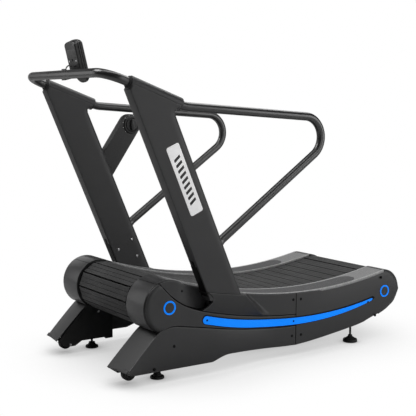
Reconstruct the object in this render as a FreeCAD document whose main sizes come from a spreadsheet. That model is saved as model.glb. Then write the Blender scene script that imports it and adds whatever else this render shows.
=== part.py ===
import FreeCAD, Part
import math
import os
import Sketcher
from types import SimpleNamespace
from FreeCAD import Placement, Rotation, Vector

# Curved manual treadmill.
# Frame: millimetres, +Z up, floor at Z = 0, X = 0 is the plane midway between the handrails.
# The runner faces -Y, so -Y is the front, and +X is the runner's left.

SIZES = [
    # alias, value, what it is
    ("belt_width", 490, "length of a slat across the deck"),
    ("slat_count", 48, "slats in the endless loop"),
    ("slat_gap", 7, "gap between neighbouring slats"),
    ("slat_plate", 9, "thickness of a slat's tread plate"),
    ("lug_depth", 11, "depth of the belt lug under a slat"),
    ("lug_run", 38, "length of a belt lug along the travel"),
    ("lug_span", 36, "width of a belt lug across the deck"),
    ("lug_place", 195, "distance of a belt lug from the middle plane"),
    ("front_axis_y", -601, "front shaft, along the deck"),
    ("front_axis_z", 356, "front shaft, height"),
    ("front_loop_radius", 120, "outer radius of the loop on the front pulleys"),
    ("rear_axis_y", 816, "rear shaft, along the deck"),
    ("rear_axis_z", 267, "rear shaft, height"),
    ("rear_loop_radius", 108, "outer radius of the loop on the rear pulleys"),
    ("deck_low", 322, "height of the lowest point of the running surface"),
    ("return_low", 100, "height of the lowest point of the returning run"),
    ("pulley_gap", 0.6, "clearance of pulleys and guide bearings under the slats"),
    ("pulley_width", 44, "width of a belt pulley"),
    ("shaft_radius", 15, "radius of both shafts"),
    ("shaft_reach", 312, "half length of both shafts"),
    ("brake_reach", 362, "reach of the front shaft on the brake side"),
    ("fit_gap", 0.05, "radial running clearance of shafts and axles"),
    ("bearing_radius", 37, "outer radius of a shaft bearing housing"),
    ("bearing_width", 24, "width of a shaft bearing housing"),
    ("beam_inner", 268, "inner face of a side beam"),
    ("beam_thickness", 8, "plate thickness of a side beam"),
    ("beam_depth", 105, "depth of a side beam"),
    ("beam_drop", 36, "drop from the running surface to a side beam"),
    ("cross_run", 40, "cross member section along the deck"),
    ("cross_rise", 60, "cross member section in height"),
    ("rail_inner", 248, "inner edge of a step rail"),
    ("rail_outer", 373, "outer edge of a step rail"),
    ("rail_rise", 6, "step rail above the running surface"),
    ("rail_thickness", 14, "thickness of a step rail"),
    ("grip_margin", 9, "step rail showing each side of a grip pad"),
    ("grip_thickness", 2, "thickness of a grip pad"),
    ("guide_place", 234, "distance of a guide bearing from the middle plane"),
    ("guide_radius", 13, "radius of a guide bearing"),
    ("guide_width", 9, "width of a guide bearing"),
    ("guide_count", 16, "guide bearings on each side"),
    ("panel_wide", 438, "outer face of the covers at the front"),
    ("panel_narrow", 393, "outer face of the covers at the rear"),
    ("panel_bulge", 474, "outer face of the cover round the upright"),
    ("panel_shoulder", 433, "outer face of the shoulder cover beside the cap"),
    ("panel_wall", 5, "wall of the side covers"),
    ("panel_seam", 1, "gap between neighbouring covers"),
    ("seam_y", 190, "seam between front and rear covers"),
    ("collar_radius", 130, "outer radius of the collar round the drum"),
    ("collar_wall", 4, "wall of the collar"),
    ("collar_inner", 262, "collar's edge beside the belt"),
    ("collar_outer", 424, "collar's edge beside the cap"),
    ("rear_radius", 118, "outer radius of the rear end"),
    ("stripe_sink", 1.5, "stripe below the panel face"),
    ("stripe_gap", 1, "clearance round the stripe"),
    ("ring_radius", 33, "outer radius of an accent ring"),
    ("ring_band", 8, "width of an accent ring"),
    ("ring_rise", 1.2, "thickness of an accent ring"),
    ("leg_plate_wall", 6, "thickness of a leg plate"),
    ("leg_flange", 88, "reach of the foot flange on a leg plate"),
    ("foot_place", 340, "distance of the feet from the middle plane"),
    ("front_foot_y", -610, "front feet, along the deck"),
    ("rear_foot_y", 616, "rear feet, along the deck"),
    ("front_pad_radius", 34, "radius of a front foot's pad"),
    ("rear_pad_radius", 39, "radius of a rear foot's pad"),
    ("front_flange_z", 52, "underside of the front foot flange"),
    ("rear_flange_z", 112, "underside of the rear foot flange"),
    ("foot_screw_radius", 6, "radius of a foot's screw"),
    ("wheel_y", -766, "transport wheel, along the deck"),
    ("wheel_z", 50, "transport wheel, height of the axle"),
    ("wheel_radius", 34, "radius of a transport wheel"),
    ("wheel_width", 30, "width of a transport wheel"),
    ("wheel_axle_radius", 6, "radius of a transport wheel's axle"),
    ("upright_place", 436, "middle of an upright from the middle plane"),
    ("upright_width", 64, "thickness of an upright across the machine"),
    ("upright_depth", 174, "depth of an upright, front edge to rear edge"),
    ("upright_wall", 4, "wall of an upright"),
    ("upright_lean", 23.1, "forward lean of the uprights, degrees"),
    ("upright_mid_y", -521.5, "middle of an upright at its mid height"),
    ("upright_mid_z", 895, "mid height of an upright"),
    ("upright_foot_z", 310, "lower end of an upright"),
    ("sleeve_y", -802, "front end of a handrail sleeve"),
    ("sleeve_z", 1387, "height of a sleeve's front end"),
    ("sleeve_slope", 20.4, "slope of a sleeve, degrees"),
    ("sleeve_length", 282, "length of a sleeve"),
    ("tube_radius", 21, "outer radius of the handrail tube"),
    ("tube_wall", 2.5, "wall of the handrail tube"),
    ("tube_slip", 0.2, "clearance of the tube in its sleeve"),
    ("crossbar_y", -913, "axis of the front crossbar"),
    ("crossbar_bend", 102, "bend radius of the front crossbar"),
    ("rail_corner_y", 506, "corner where a handrail turns back, along the deck"),
    ("rail_corner_z", 1208, "height of that corner"),
    ("rail_bend", 105, "bend radius at that corner"),
    ("rail_return_slope", 34.5, "slope of the handrail's lower run, degrees"),
    ("arm_slope", 55.5, "slope of the selector arm, degrees"),
    ("arm_width", 116, "width of the selector arm"),
    ("arm_thickness", 50, "thickness of the selector arm"),
    ("arm_end_y", -318, "round end of the selector arm, along the deck"),
    ("arm_end_z", 1178, "height of that round end"),
    ("dial_radius", 36, "radius of the selector dial"),
    ("dial_depth", 22, "depth of the selector dial"),
    ("disc_radius", 95, "radius of the brake disc"),
    ("disc_thickness", 8, "thickness of the brake disc"),
    ("disc_place", 334, "middle of the brake disc from the middle plane"),
    ("disc_gap", 2, "air gap between the disc and the yoke"),
    ("yoke_retreat", 6, "yoke clear of the disc at the lightest setting"),
    ("console_width", 122, "width of the console"),
    ("console_tilt", 13.6, "forward tilt of the console, degrees"),
    ("console_back_y", -844, "console's back face at the crossbar's height"),
    ("housing_depth", 24, "depth of the console's rear housing"),
    ("bezel_depth", 18, "depth of the console's bezel"),
    ("console_top", 162, "console above the crossbar, along its tilt"),
    ("console_bottom", 44, "console below the crossbar, along its tilt"),
    ("button_radius", 7, "radius of a console button"),
    ("button_travel", 1.5, "travel of a console button"),
    ("lead_radius", 3, "radius of the console lead"),
    ("plate_length", 344, "length of the plate on an upright"),
    ("plate_width", 72, "width of that plate"),
    ("plate_thickness", 1.5, "thickness of that plate"),
    ("plate_z", 944, "height of the middle of that plate"),
    ("plate_shift", 10, "plate behind the middle of the upright"),
    ("screw_radius", 5, "head radius of a cover screw"),
]

doc = FreeCAD.newDocument("CurvedTreadmill")
sheet = doc.addObject("Spreadsheet::Sheet", "Sizes")
for row, (alias, value, meaning) in enumerate(SIZES, start=1):
    sheet.set(f"A{row}", meaning)
    sheet.set(f"B{row}", str(value))
    sheet.setAlias(f"B{row}", alias)
doc.recompute()
s = SimpleNamespace(**{alias: float(sheet.get(alias)) for alias, value, meaning in SIZES})

X_AXIS, Y_AXIS, Z_AXIS = Vector(1, 0, 0), Vector(0, 1, 0), Vector(0, 0, 1)
SIDES = (("left", 1), ("right", -1))
nodes = []


# ---------------------------------------------------------------- helpers

def keep(obj, label):
    """Name an object as a sub-part of the machine."""
    obj.Label = label
    nodes.append(obj)
    return obj


def shaped(label, shape):
    """A sub-part whose shape is worked out by Part's own functions."""
    obj = doc.addObject("Part::Feature", label)
    obj.Shape = solids_of(shape)
    return keep(obj, label)


def place(obj, x, y, z):
    """Tie an object's position to expressions of the sheet."""
    for axis, text in zip("xyz", (x, y, z)):
        obj.setExpression(f"Placement.Base.{axis}", text)


def solids_of(shape):
    """One solid where there is one, or a group of separate solids."""
    parts = shape.Solids
    return parts[0] if len(parts) == 1 else Part.makeCompound(parts)


def group(shapes):
    return Part.makeCompound([solid for shape in shapes for solid in shape.Solids])


def yz(y, z, x=0.0):
    return Vector(x, y, z)


def edge_line(start, end):
    return Part.makeLine(yz(*start), yz(*end))


def edge_arc(start, middle, end):
    return Part.Arc(yz(*start), yz(*middle), yz(*end)).toShape()


def edge_curve(points):
    """A smooth edge in the YZ plane through (y, z) points."""
    spline = Part.BSplineCurve()
    spline.interpolate([yz(y, z) for y, z in points])
    return spline.toShape()


def face_of(edges):
    return Part.Face(Part.Wire(edges))


def polygon_face(points):
    """A flat face in the YZ plane from (y, z) corners."""
    corners = [yz(y, z) for y, z in points]
    return Part.Face(Part.makePolygon(corners + corners[:1]))


def disc_face(centre, radius):
    return Part.Face(Part.Wire(Part.makeCircle(radius, yz(*centre), X_AXIS)))


def across(face, low, high):
    """A YZ face carried across the machine from X = low to X = high."""
    moved = face.copy()
    moved.translate(Vector(low, 0, 0))
    return moved.extrude(Vector(high - low, 0, 0))


def mirrored(shape, side):
    return shape if side > 0 else shape.mirror(Vector(0, 0, 0), X_AXIS)


def rod(radius, low, high, centre):
    """A round bar along X about a (y, z) centre."""
    return Part.makeCylinder(radius, high - low, Vector(low, *centre), X_AXIS)


def pipe(outer, inner, low, high, centre):
    return rod(outer, low, high, centre).cut(rod(inner, low - 1, high + 1, centre))


def polar(centre, radius, degrees):
    angle = math.radians(degrees)
    return centre[0] + radius * math.cos(angle), centre[1] + radius * math.sin(angle)


def band_face(centre, inner, outer, start, end):
    """A flat ring sector in the YZ plane, between two radii and two angles in degrees."""
    middle = (start + end) / 2
    return face_of([
        edge_arc(*(polar(centre, outer, angle) for angle in (start, middle, end))),
        edge_line(polar(centre, outer, end), polar(centre, inner, end)),
        edge_arc(*(polar(centre, inner, angle) for angle in (end, middle, start))),
        edge_line(polar(centre, inner, start), polar(centre, outer, start))])


def new_body(label, plane_role):
    """A body with one sketch on one of its own origin planes."""
    body = doc.addObject("PartDesign::Body", label)
    sketch = body.newObject("Sketcher::SketchObject", label + "_sketch")
    plane = next(item for item in body.Origin.OriginFeatures if item.Role == plane_role)
    sketch.AttachmentSupport = [(plane, "")]
    sketch.MapMode = "FlatFace"
    return body, sketch


def bound_rectangle(sketch, low_x, high_x, low_y, high_y):
    """A rectangle in a sketch, with its four sides held by expressions of the sheet."""
    left, right, low, high = (float(sheet.evalExpression(text)) for text in (low_x, high_x, low_y, high_y))
    corners = [Vector(left, low, 0), Vector(right, low, 0), Vector(right, high, 0), Vector(left, high, 0)]
    first = sketch.GeometryCount
    for index in range(4):
        sketch.addGeometry(Part.LineSegment(corners[index], corners[(index + 1) % 4]), False)
    for index, kind in enumerate(("Horizontal", "Vertical", "Horizontal", "Vertical")):
        sketch.addConstraint(Sketcher.Constraint("Coincident", first + index, 2, first + (index + 1) % 4, 1))
        sketch.addConstraint(Sketcher.Constraint(kind, first + index))
    for kind, edge, point, value, text in (
            ("DistanceX", 0, 1, left, low_x), ("DistanceX", 0, 2, right, high_x),
            ("DistanceY", 0, 1, low, low_y), ("DistanceY", 2, 1, high, high_y)):
        number = sketch.addConstraint(Sketcher.Constraint(kind, -1, 1, first + edge, point, value))
        sketch.setExpression(f"Constraints[{number}]", text)


def turned_body(label, rectangles, axis="H_Axis", plane="XY_Plane"):
    """A body turned from rectangles: each gives its reach along the axis, then its two radii."""
    body, sketch = new_body(label, plane)
    for rectangle in rectangles:
        bound_rectangle(sketch, *rectangle)
    turn = body.newObject("PartDesign::Revolution", label + "_turn")
    turn.Profile = sketch
    turn.ReferenceAxis = (sketch, [axis])
    turn.Angle = 360
    sketch.Visibility = False
    return body


# ---------------------------------------------------------------- the belt's loop

FRONT_AXIS = (s.front_axis_y, s.front_axis_z)
REAR_AXIS = (s.rear_axis_y, s.rear_axis_z)


def hanging_arc(low, front_offset, rear_offset):
    """Centre and radius of the arc that dips to height low and touches both end circles.

    Its centre lies radius + offset from each shaft: the offset is the end circle's radius where the
    arc runs over the top of the drums, and minus that radius where it hangs below them.
    """
    def spread(radius):
        reach = 0.0
        for axis, offset in ((FRONT_AXIS, front_offset), (REAR_AXIS, rear_offset)):
            rise = radius + low - axis[1]
            reach += math.sqrt((radius + offset) ** 2 - rise ** 2)
        return reach

    wanted = REAR_AXIS[0] - FRONT_AXIS[0]
    short, long = 600.0, 20000.0
    for step in range(80):
        radius = (short + long) / 2
        if spread(radius) < wanted:
            short = radius
        else:
            long = radius
    rise = radius + low - FRONT_AXIS[1]
    return (FRONT_AXIS[0] + math.sqrt((radius + front_offset) ** 2 - rise ** 2), radius + low), radius


deck_centre, deck_radius = hanging_arc(s.deck_low, s.front_loop_radius, s.rear_loop_radius)
return_centre, return_radius = hanging_arc(s.return_low, -s.front_loop_radius, -s.rear_loop_radius)


def bearing_angle(origin, target):
    return math.degrees(math.atan2(target[1] - origin[1], target[0] - origin[0]))


deck_front = bearing_angle(deck_centre, FRONT_AXIS)
deck_rear = bearing_angle(deck_centre, REAR_AXIS)
return_front = bearing_angle(return_centre, FRONT_AXIS)
return_rear = bearing_angle(return_centre, REAR_AXIS)
top_length = math.radians(deck_rear - deck_front) * deck_radius
rear_wrap = deck_rear + 180 - return_rear
rear_length = math.radians(rear_wrap) * s.rear_loop_radius
return_length = math.radians(return_rear - return_front) * return_radius
front_wrap = 180 - deck_front + return_front
front_length = math.radians(front_wrap) * s.front_loop_radius
loop_length = top_length + rear_length + return_length + front_length
slat_pitch = loop_length / s.slat_count
slat_run = slat_pitch - s.slat_gap


def loop_station(distance):
    """Which run of the loop a distance falls on, with the place there and the outward direction.

    Distance 0 is where the deck leaves the front drum, and it grows along the deck to the rear.
    """
    if distance < top_length:
        angle = deck_front + math.degrees(distance / deck_radius)
        return "top", polar(deck_centre, deck_radius, angle), angle + 180
    distance -= top_length
    if distance < rear_length:
        angle = deck_rear + 180 - math.degrees(distance / s.rear_loop_radius)
        return "rear", polar(REAR_AXIS, s.rear_loop_radius, angle), angle
    distance -= rear_length
    if distance < return_length:
        angle = return_rear - math.degrees(distance / return_radius)
        return "return", polar(return_centre, return_radius, angle), angle
    distance -= return_length
    angle = return_front - math.degrees(distance / s.front_loop_radius)
    return "front", polar(FRONT_AXIS, s.front_loop_radius, angle), angle


def deck_height(y, rise=0.0):
    """Height of the running surface at y, or of a surface that lies above it by rise."""
    radius = deck_radius - rise
    return deck_centre[1] - math.sqrt(radius ** 2 - (y - deck_centre[0]) ** 2)


def deck_band(rise, thickness, front_y, rear_y):
    """A curved band that follows the deck: its top lies rise above the running surface."""
    start, end = (bearing_angle(deck_centre, (y, deck_height(y, rise))) for y in (front_y, rear_y))
    return band_face(deck_centre, deck_radius - rise, deck_radius - rise + thickness, start, end)


def slat():
    """One slat at the origin: its outer face at Z = 0, its travel along Y, a belt lug near each end."""
    plate = Part.makeBox(s.belt_width, slat_run, s.slat_plate,
                         Vector(-s.belt_width / 2, -slat_run / 2, -s.slat_plate))
    for name, side in SIDES:
        corner = Vector(side * s.lug_place - s.lug_span / 2, -s.lug_run / 2, -s.slat_plate - s.lug_depth)
        plate = plate.fuse(Part.makeBox(s.lug_span, s.lug_run, s.lug_depth, corner))
    return plate.removeSplitter()


def make_treads():
    runs = {"top": [], "rear": [], "return": [], "front": []}
    pattern = slat()
    for number in range(int(s.slat_count)):
        run, spot, outward = loop_station((number + 0.5) * slat_pitch)
        piece = pattern.copy()
        piece.Placement = Placement(yz(*spot), Rotation(X_AXIS, outward - 90))
        runs[run].append(piece)
    for run, pieces in runs.items():
        shaped("tread_" + run, group(pieces))


# ---------------------------------------------------------------- shafts, pulleys, bearings, brake

def make_shafts():
    reach = "Sizes.shaft_reach"
    front = turned_body("front_shaft", [("0", f"{reach} + Sizes.brake_reach", "0", "Sizes.shaft_radius")])
    place(front, "-Sizes.brake_reach", "Sizes.front_axis_y", "Sizes.front_axis_z")
    rear = turned_body("rear_shaft", [("0", f"2 * {reach}", "0", "Sizes.shaft_radius")])
    place(rear, f"-{reach}", "Sizes.rear_axis_y", "Sizes.rear_axis_z")
    keep(front, "front_shaft")
    keep(rear, "rear_shaft")


def make_pulleys():
    """A pair of crowned-flat pulleys on each shaft, under the belt lugs."""
    lug = s.slat_plate + s.lug_depth + s.pulley_gap
    for end, axis, loop in (("front", FRONT_AXIS, s.front_loop_radius), ("rear", REAR_AXIS, s.rear_loop_radius)):
        pulleys = []
        for name, side in SIDES:
            low = side * s.lug_place - s.pulley_width / 2
            pulleys.append(pipe(loop - lug, s.shaft_radius, low, low + s.pulley_width, axis))
        shaped(end + "_pulleys", group(pulleys))


def make_bearings():
    """Shaft bearing housings on the outer faces of the side beams."""
    bore = s.shaft_radius + s.fit_gap
    low = s.beam_inner + s.beam_thickness
    housings = []
    for name, side in SIDES:
        for axis in (FRONT_AXIS, REAR_AXIS):
            housings.append(mirrored(pipe(s.bearing_radius, bore, low, low + s.bearing_width, axis), side))
    shaped("shaft_bearings", group(housings))


def make_guides():
    """Guide bearings under the ends of the slats, each on a stub from the side beam."""
    first, last = deck_front + 3.4, deck_rear - 2.6
    step = (last - first) / (s.guide_count - 1)
    depth = deck_radius + s.slat_plate + s.guide_radius + s.pulley_gap
    guides = []
    for index in range(int(s.guide_count)):
        centre = polar(deck_centre, depth, first + index * step)
        wheel = rod(s.guide_radius, s.guide_place - s.guide_width / 2, s.guide_place + s.guide_width / 2, centre)
        stub = rod(s.guide_radius / 3, s.guide_place, s.beam_inner, centre)
        guides += [mirrored(wheel.fuse(stub), side) for name, side in SIDES]
    shaped("guide_bearings", group(guides))


def make_brake():
    """A steel disc on the right end of the front shaft, and a magnet yoke that closes over its edge."""
    disc = turned_body("brake_disc", [("0", "Sizes.disc_thickness", "Sizes.shaft_radius", "Sizes.disc_radius")])
    place(disc, "-Sizes.disc_place - Sizes.disc_thickness / 2", "Sizes.front_axis_y", "Sizes.front_axis_z")
    keep(disc, "brake_disc")
    half_slot = s.disc_thickness / 2 + s.disc_gap
    front = s.front_axis_y + s.disc_radius + s.yoke_retreat
    yoke_wall, yoke_depth, yoke_height, slot_depth = 10, 52, 34, 32
    low_z = s.front_axis_z - yoke_height / 2
    block = Part.makeBox(2 * (half_slot + yoke_wall), yoke_depth, yoke_height,
                         Vector(-s.disc_place - half_slot - yoke_wall, front, low_z))
    slot = Part.makeBox(2 * half_slot, slot_depth, yoke_height + 2,
                        Vector(-s.disc_place - half_slot, front - 1, low_z - 1))
    shaped("magnet_yoke", block.cut(slot))
    slide_gap, shelf = 0.4, 6
    low_x = -s.disc_place - half_slot - yoke_wall
    shaped("brake_bracket", Part.makeBox(
        -s.beam_inner - s.beam_thickness - low_x, yoke_depth + 8, shelf,
        Vector(low_x, front + 6, low_z - slide_gap - shelf)))


# ---------------------------------------------------------------- frame

def beam_face():
    """Outline of a side beam: a band under the deck with a round boss at each shaft."""
    band = deck_band(-s.beam_drop, s.beam_depth, s.front_axis_y + 30, s.rear_axis_y - 30)
    front_boss = disc_face(FRONT_AXIS, 62)
    rear_boss = disc_face(REAR_AXIS, 56)
    return band.fuse([front_boss, rear_boss]).removeSplitter()


def make_beams():
    """Side beams with their shaft holes, rear foot brackets and upright brackets."""
    outer = s.beam_inner + s.beam_thickness
    upright_inner = s.upright_place - s.upright_width / 2
    bracket_wall = 8
    beams = []
    for name, side in SIDES:
        plate = Part.makeCompound([across(face, s.beam_inner, outer) for face in beam_face().Faces])
        plate = plate.Solids[0].fuse(plate.Solids[1:]) if len(plate.Solids) > 1 else plate.Solids[0]
        for axis in (FRONT_AXIS, REAR_AXIS):
            plate = plate.cut(rod(s.shaft_radius + 2, s.beam_inner - 1, outer + 1, axis))
        foot_top = deck_height(s.rear_foot_y, -s.beam_drop) - s.beam_depth
        web = Part.makeBox(bracket_wall, 60, foot_top + 20 - s.rear_flange_z,
                           Vector(outer - bracket_wall, s.rear_foot_y - 30, s.rear_flange_z))
        shelf = Part.makeBox(s.foot_place + 30 - outer + bracket_wall, 60, bracket_wall,
                             Vector(outer - bracket_wall, s.rear_foot_y - 30, s.rear_flange_z))
        screw_hole = Part.makeCylinder(s.foot_screw_radius + s.fit_gap, 40,
                                       Vector(s.foot_place, s.rear_foot_y, s.rear_flange_z - 20))
        arm = Part.makeBox(upright_inner - outer + bracket_wall, 70, 40,
                           Vector(outer - bracket_wall, upright_y(325) - 35, 303))
        plate = plate.fuse([web, shelf, arm]).cut(screw_hole).removeSplitter()
        beams.append(mirrored(plate, side))
    shaped("side_beams", group(beams))


def make_cross_members():
    """Rectangular tubes between the side beams, inside the belt's loop."""
    wall = 3
    members = []
    for y in (-430, -90, 250, 590):
        z = deck_height(y, -s.beam_drop) - s.beam_depth / 2
        outer = Part.makeBox(2 * s.beam_inner, s.cross_run, s.cross_rise,
                             Vector(-s.beam_inner, y - s.cross_run / 2, z - s.cross_rise / 2))
        inner = Part.makeBox(2 * s.beam_inner + 2, s.cross_run - 2 * wall, s.cross_rise - 2 * wall,
                             Vector(-s.beam_inner - 1, y - s.cross_run / 2 + wall, z - s.cross_rise / 2 + wall))
        members.append(outer.cut(inner))
    shaped("cross_members", group(members))


def make_leg_plates():
    """Inner leg plates, with an axle hole and a flange over each front foot."""
    inner = s.beam_inner + s.beam_thickness
    top = s.front_axis_z - s.bearing_radius - 6
    outline = [(-836, 72), (-664, 250), (-650, top), (-518, top), (-518, 54), (-560, 54), (-566, 62),
               (-700, 62), (-738, 40), (-790, 40)]
    plates = []
    for name, side in SIDES:
        plate = across(polygon_face(outline), inner, inner + s.leg_plate_wall)
        flange = Part.makeBox(s.leg_flange, 70, s.leg_plate_wall,
                              Vector(inner, s.front_foot_y - 35, s.front_flange_z + 10))
        hole = Part.makeCylinder(s.foot_screw_radius + s.fit_gap, 40,
                                 Vector(s.foot_place, s.front_foot_y, s.front_flange_z - 10))
        axle_hole = rod(s.wheel_axle_radius, inner - 1, inner + s.leg_plate_wall + 1, (s.wheel_y, s.wheel_z))
        plates.append(mirrored(plate.fuse(flange).cut(hole).cut(axle_hole).removeSplitter(), side))
    shaped("leg_plates", group(plates))


def make_feet():
    """Levelling feet: a round pad on a threaded stem, free to turn in the frame."""
    stem_reach = 28
    for end, y, flange, pad, pad_height in (
            ("front", "front_foot_y", "front_flange_z", s.front_pad_radius, 22),
            ("rear", "rear_foot_y", "rear_flange_z", s.rear_pad_radius, 30)):
        top = getattr(s, flange) + stem_reach
        for name, side in SIDES:
            label = f"foot_{end}_{name}"
            body, sketch = new_body(label, "XZ_Plane")
            profile = [(0, 0), (pad, 0), (pad, pad_height * 0.45), (pad * 0.55, pad_height),
                       (s.foot_screw_radius + 5, pad_height), (s.foot_screw_radius + 5, pad_height + 8),
                       (s.foot_screw_radius, pad_height + 8), (s.foot_screw_radius, top), (0, top)]
            for start, finish in zip(profile, profile[1:] + profile[:1]):
                sketch.addGeometry(Part.LineSegment(Vector(*start, 0), Vector(*finish, 0)), False)
            turn = body.newObject("PartDesign::Revolution", label + "_turn")
            turn.Profile = sketch
            turn.ReferenceAxis = (sketch, ["V_Axis"])
            turn.Angle = 360
            place(body, f"{side} * Sizes.foot_place", "Sizes." + y, "0")
            keep(body, label)


def make_wheels():
    """Transport wheels between the leg plates and the lower covers, each on its own axle."""
    inner = s.beam_inner + s.beam_thickness
    axles = []
    for name, side in SIDES:
        label = f"transport_wheel_{name}"
        wheel = turned_body(label, [("0", "Sizes.wheel_width",
                                     "Sizes.wheel_axle_radius + Sizes.fit_gap", "Sizes.wheel_radius")])
        place(wheel, f"{side} * Sizes.foot_place - Sizes.wheel_width / 2", "Sizes.wheel_y", "Sizes.wheel_z")
        keep(wheel, label)
        axle = rod(s.wheel_axle_radius, inner - 4, s.foot_place + s.wheel_width / 2 + 8, (s.wheel_y, s.wheel_z))
        axles.append(mirrored(axle, side))
    shaped("wheel_axles", group(axles))


# ---------------------------------------------------------------- covers

def flare(front_x, rear_x, start_y, end_y, sink, wall):
    """A tall wall whose outer face runs from front_x to rear_x between two places along the deck."""
    slope = math.atan2(front_x - rear_x, end_y - start_y)
    shift = math.tan(slope / 2) * wall
    outer = [(front_x, -1200), (front_x, start_y), (rear_x, end_y), (rear_x, 1200)]
    face = [(x - sink, y) for x, y in outer]
    face += [(rear_x - sink - wall, 1200), (rear_x - sink - wall, end_y - shift),
             (front_x - sink - wall, start_y - shift), (front_x - sink - wall, -1200)]
    corners = [Vector(x, y, 0) for x, y in face]
    return Part.Face(Part.makePolygon(corners + corners[:1])).extrude(Vector(0, 0, 700))


def wide_wall(sink=0.0, wall=None):
    return flare(s.panel_wide, s.panel_narrow, -330, 60, sink, wall or s.panel_wall)


def shoulder_wall(wall):
    return flare(s.panel_shoulder, s.panel_narrow, -505, -414, 0, wall)


def inside_bulge():
    """Everything inside the bulged cover's outer face."""
    return flare(s.panel_bulge, s.panel_narrow, -150, -20, 0, s.panel_bulge)


def bulge_wall():
    return flare(s.panel_bulge, s.panel_narrow, -150, -20, 0, s.panel_wall)


def carried_out(face):
    """An outline carried through the whole width of a side, to be trimmed by a flared wall."""
    return across(face, s.panel_narrow - 80, s.panel_bulge + 20)


def stripe_face(margin):
    """Outline of the accent stripe, grown by a margin: round in front, pointed at the rear."""
    grow = margin
    top = edge_arc((-394, 291 + grow), (183, 199 + grow), (732 + 3 * grow, 234 + grow))
    bottom = edge_arc((732 + 3 * grow, 229 - grow), (190, 163 - grow), (-394, 250 - grow))
    front = edge_arc((-394, 250 - grow), (-414.5 - grow, 270.5), (-394, 291 + grow))
    rear = edge_line((732 + 3 * grow, 234 + grow), (732 + 3 * grow, 229 - grow))
    return face_of([top, rear, bottom, front])


GROOVE_TOP = [(-648, 464), (-612, 428), (-576, 394), (-531, 363), (-487, 341), (-434, 322), (-382, 307),
              (-200, 266), (0, 231), (190, 214)]
ARCH_LINE = [(-740, 161), (-655, 243), (-612, 258), (-561, 262), (-480, 248), (-391, 232), (-268, 209),
             (-104, 181), (48, 163), (190, 156)]
LOWER_EDGE = [(190, 54), (90, 58), (-30, 66), (-194, 78), (-274, 81)]


def lower_face():
    """Leg and lower band of a side, as far as the seam."""
    return face_of([
        edge_curve(ARCH_LINE), edge_line(ARCH_LINE[-1], LOWER_EDGE[0]), edge_curve(LOWER_EDGE),
        edge_line(LOWER_EDGE[-1], (-352, 57)), edge_line((-352, 57), (-780, 59)),
        edge_line((-780, 59), (-806, 64)), edge_line((-806, 64), (-820, 78)),
        edge_line((-820, 78), ARCH_LINE[0])])


def swept_face():
    """Cap face and the sweep that carries the stripe, as far as the seam."""
    sweep = face_of([
        edge_curve(GROOVE_TOP), edge_line(GROOVE_TOP[-1], (190, 140)), edge_line((190, 140), (-560, 200)),
        edge_line((-560, 200), (-601, 240)), edge_line((-601, 240), GROOVE_TOP[0])])
    whole = sweep.fuse(disc_face(FRONT_AXIS, s.collar_radius - 8)).removeSplitter()
    below = face_of([
        edge_curve([(y, z + s.panel_seam) for y, z in ARCH_LINE]),
        edge_line((190, ARCH_LINE[-1][1] + s.panel_seam), (190, 0)), edge_line((190, 0), (-900, 0)),
        edge_line((-900, 0), (-900, 161)), edge_line((-900, 161), (-740, 161 + s.panel_seam))])
    above = face_of([
        edge_curve(GROOVE_TOP), edge_line(GROOVE_TOP[-1], (190, 600)), edge_line((190, 600), (-648, 600)),
        edge_line((-648, 600), GROOVE_TOP[0])])
    return whole.cut(below).cut(above)


def rail_line(front_y, rear_y, rise):
    """The edge of the covers beside a step rail."""
    middle = (front_y + rear_y) / 2
    return edge_arc(*((y, deck_height(y, rise)) for y in (front_y, middle, rear_y)))


def upper_face():
    """Bulged cover round the upright's foot, as far as the seam."""
    gap = s.panel_seam
    lower = [(y, z + gap) for y, z in GROOVE_TOP[6:]]
    front_top = (-412, 412)
    join_y = -150
    join = (join_y, deck_height(join_y, 4))
    seam = (190, deck_height(190, 4))
    return face_of([
        edge_curve(lower), edge_line(lower[-1], seam), rail_line(seam[0], join[0], 4),
        edge_line(join, (-191, 376)), edge_line((-191, 376), front_top), edge_line(front_top, (-372, 350)),
        edge_line((-372, 350), lower[0])])


def shoulder_face():
    """Recessed cover between the cap and the bulged cover, round in front like the cap."""
    gap = s.panel_seam
    lower = [(y, z + gap + 3) for y, z in GROOVE_TOP[:7]]
    rail_front, rail_rear = -508, -352
    radius = s.collar_radius - 4
    return face_of([
        edge_curve(lower), edge_line(lower[-1], (rail_rear, deck_height(rail_rear, 4))),
        rail_line(rail_rear, rail_front, 4),
        edge_line((rail_front, deck_height(rail_front, 4)), polar(FRONT_AXIS, radius, 55)),
        edge_arc(*(polar(FRONT_AXIS, radius, angle) for angle in (55, 83, 111))),
        edge_line(polar(FRONT_AXIS, radius, 111), lower[0])])


# Underside of the rear end, as shares of the rear radius from the rear shaft, from below to the rearmost point.
REAR_UNDER = [(-1.17, -1.35), (-0.61, -1.19), (-0.23, -1.08), (0.15, -0.93), (0.42, -0.78), (0.71, -0.58),
              (0.91, -0.27), (1.0, 0.0)]


def under_rear(radius):
    """Points of the rear end's underside for a given rear radius."""
    return [(REAR_AXIS[0] + radius * y, REAR_AXIS[1] + radius * z) for y, z in REAR_UNDER]


def rear_face():
    """Rear cover, from the seam round the rear end."""
    seam = s.seam_y + s.panel_seam
    top_y = s.rear_axis_y
    top = (top_y, REAR_AXIS[1] + s.rear_radius)
    under = under_rear(s.rear_radius)
    return face_of([
        rail_line(seam, top_y - 26, 4), edge_line((top_y - 26, deck_height(top_y - 26, 4)), top),
        edge_arc(top, polar(REAR_AXIS, s.rear_radius, 45), under[-1]),
        edge_curve(under[::-1] + [(600, 96), (450, 76), (300, 61), (seam, 54)]),
        edge_line((seam, 54), (seam, deck_height(seam, 4)))])


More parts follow.
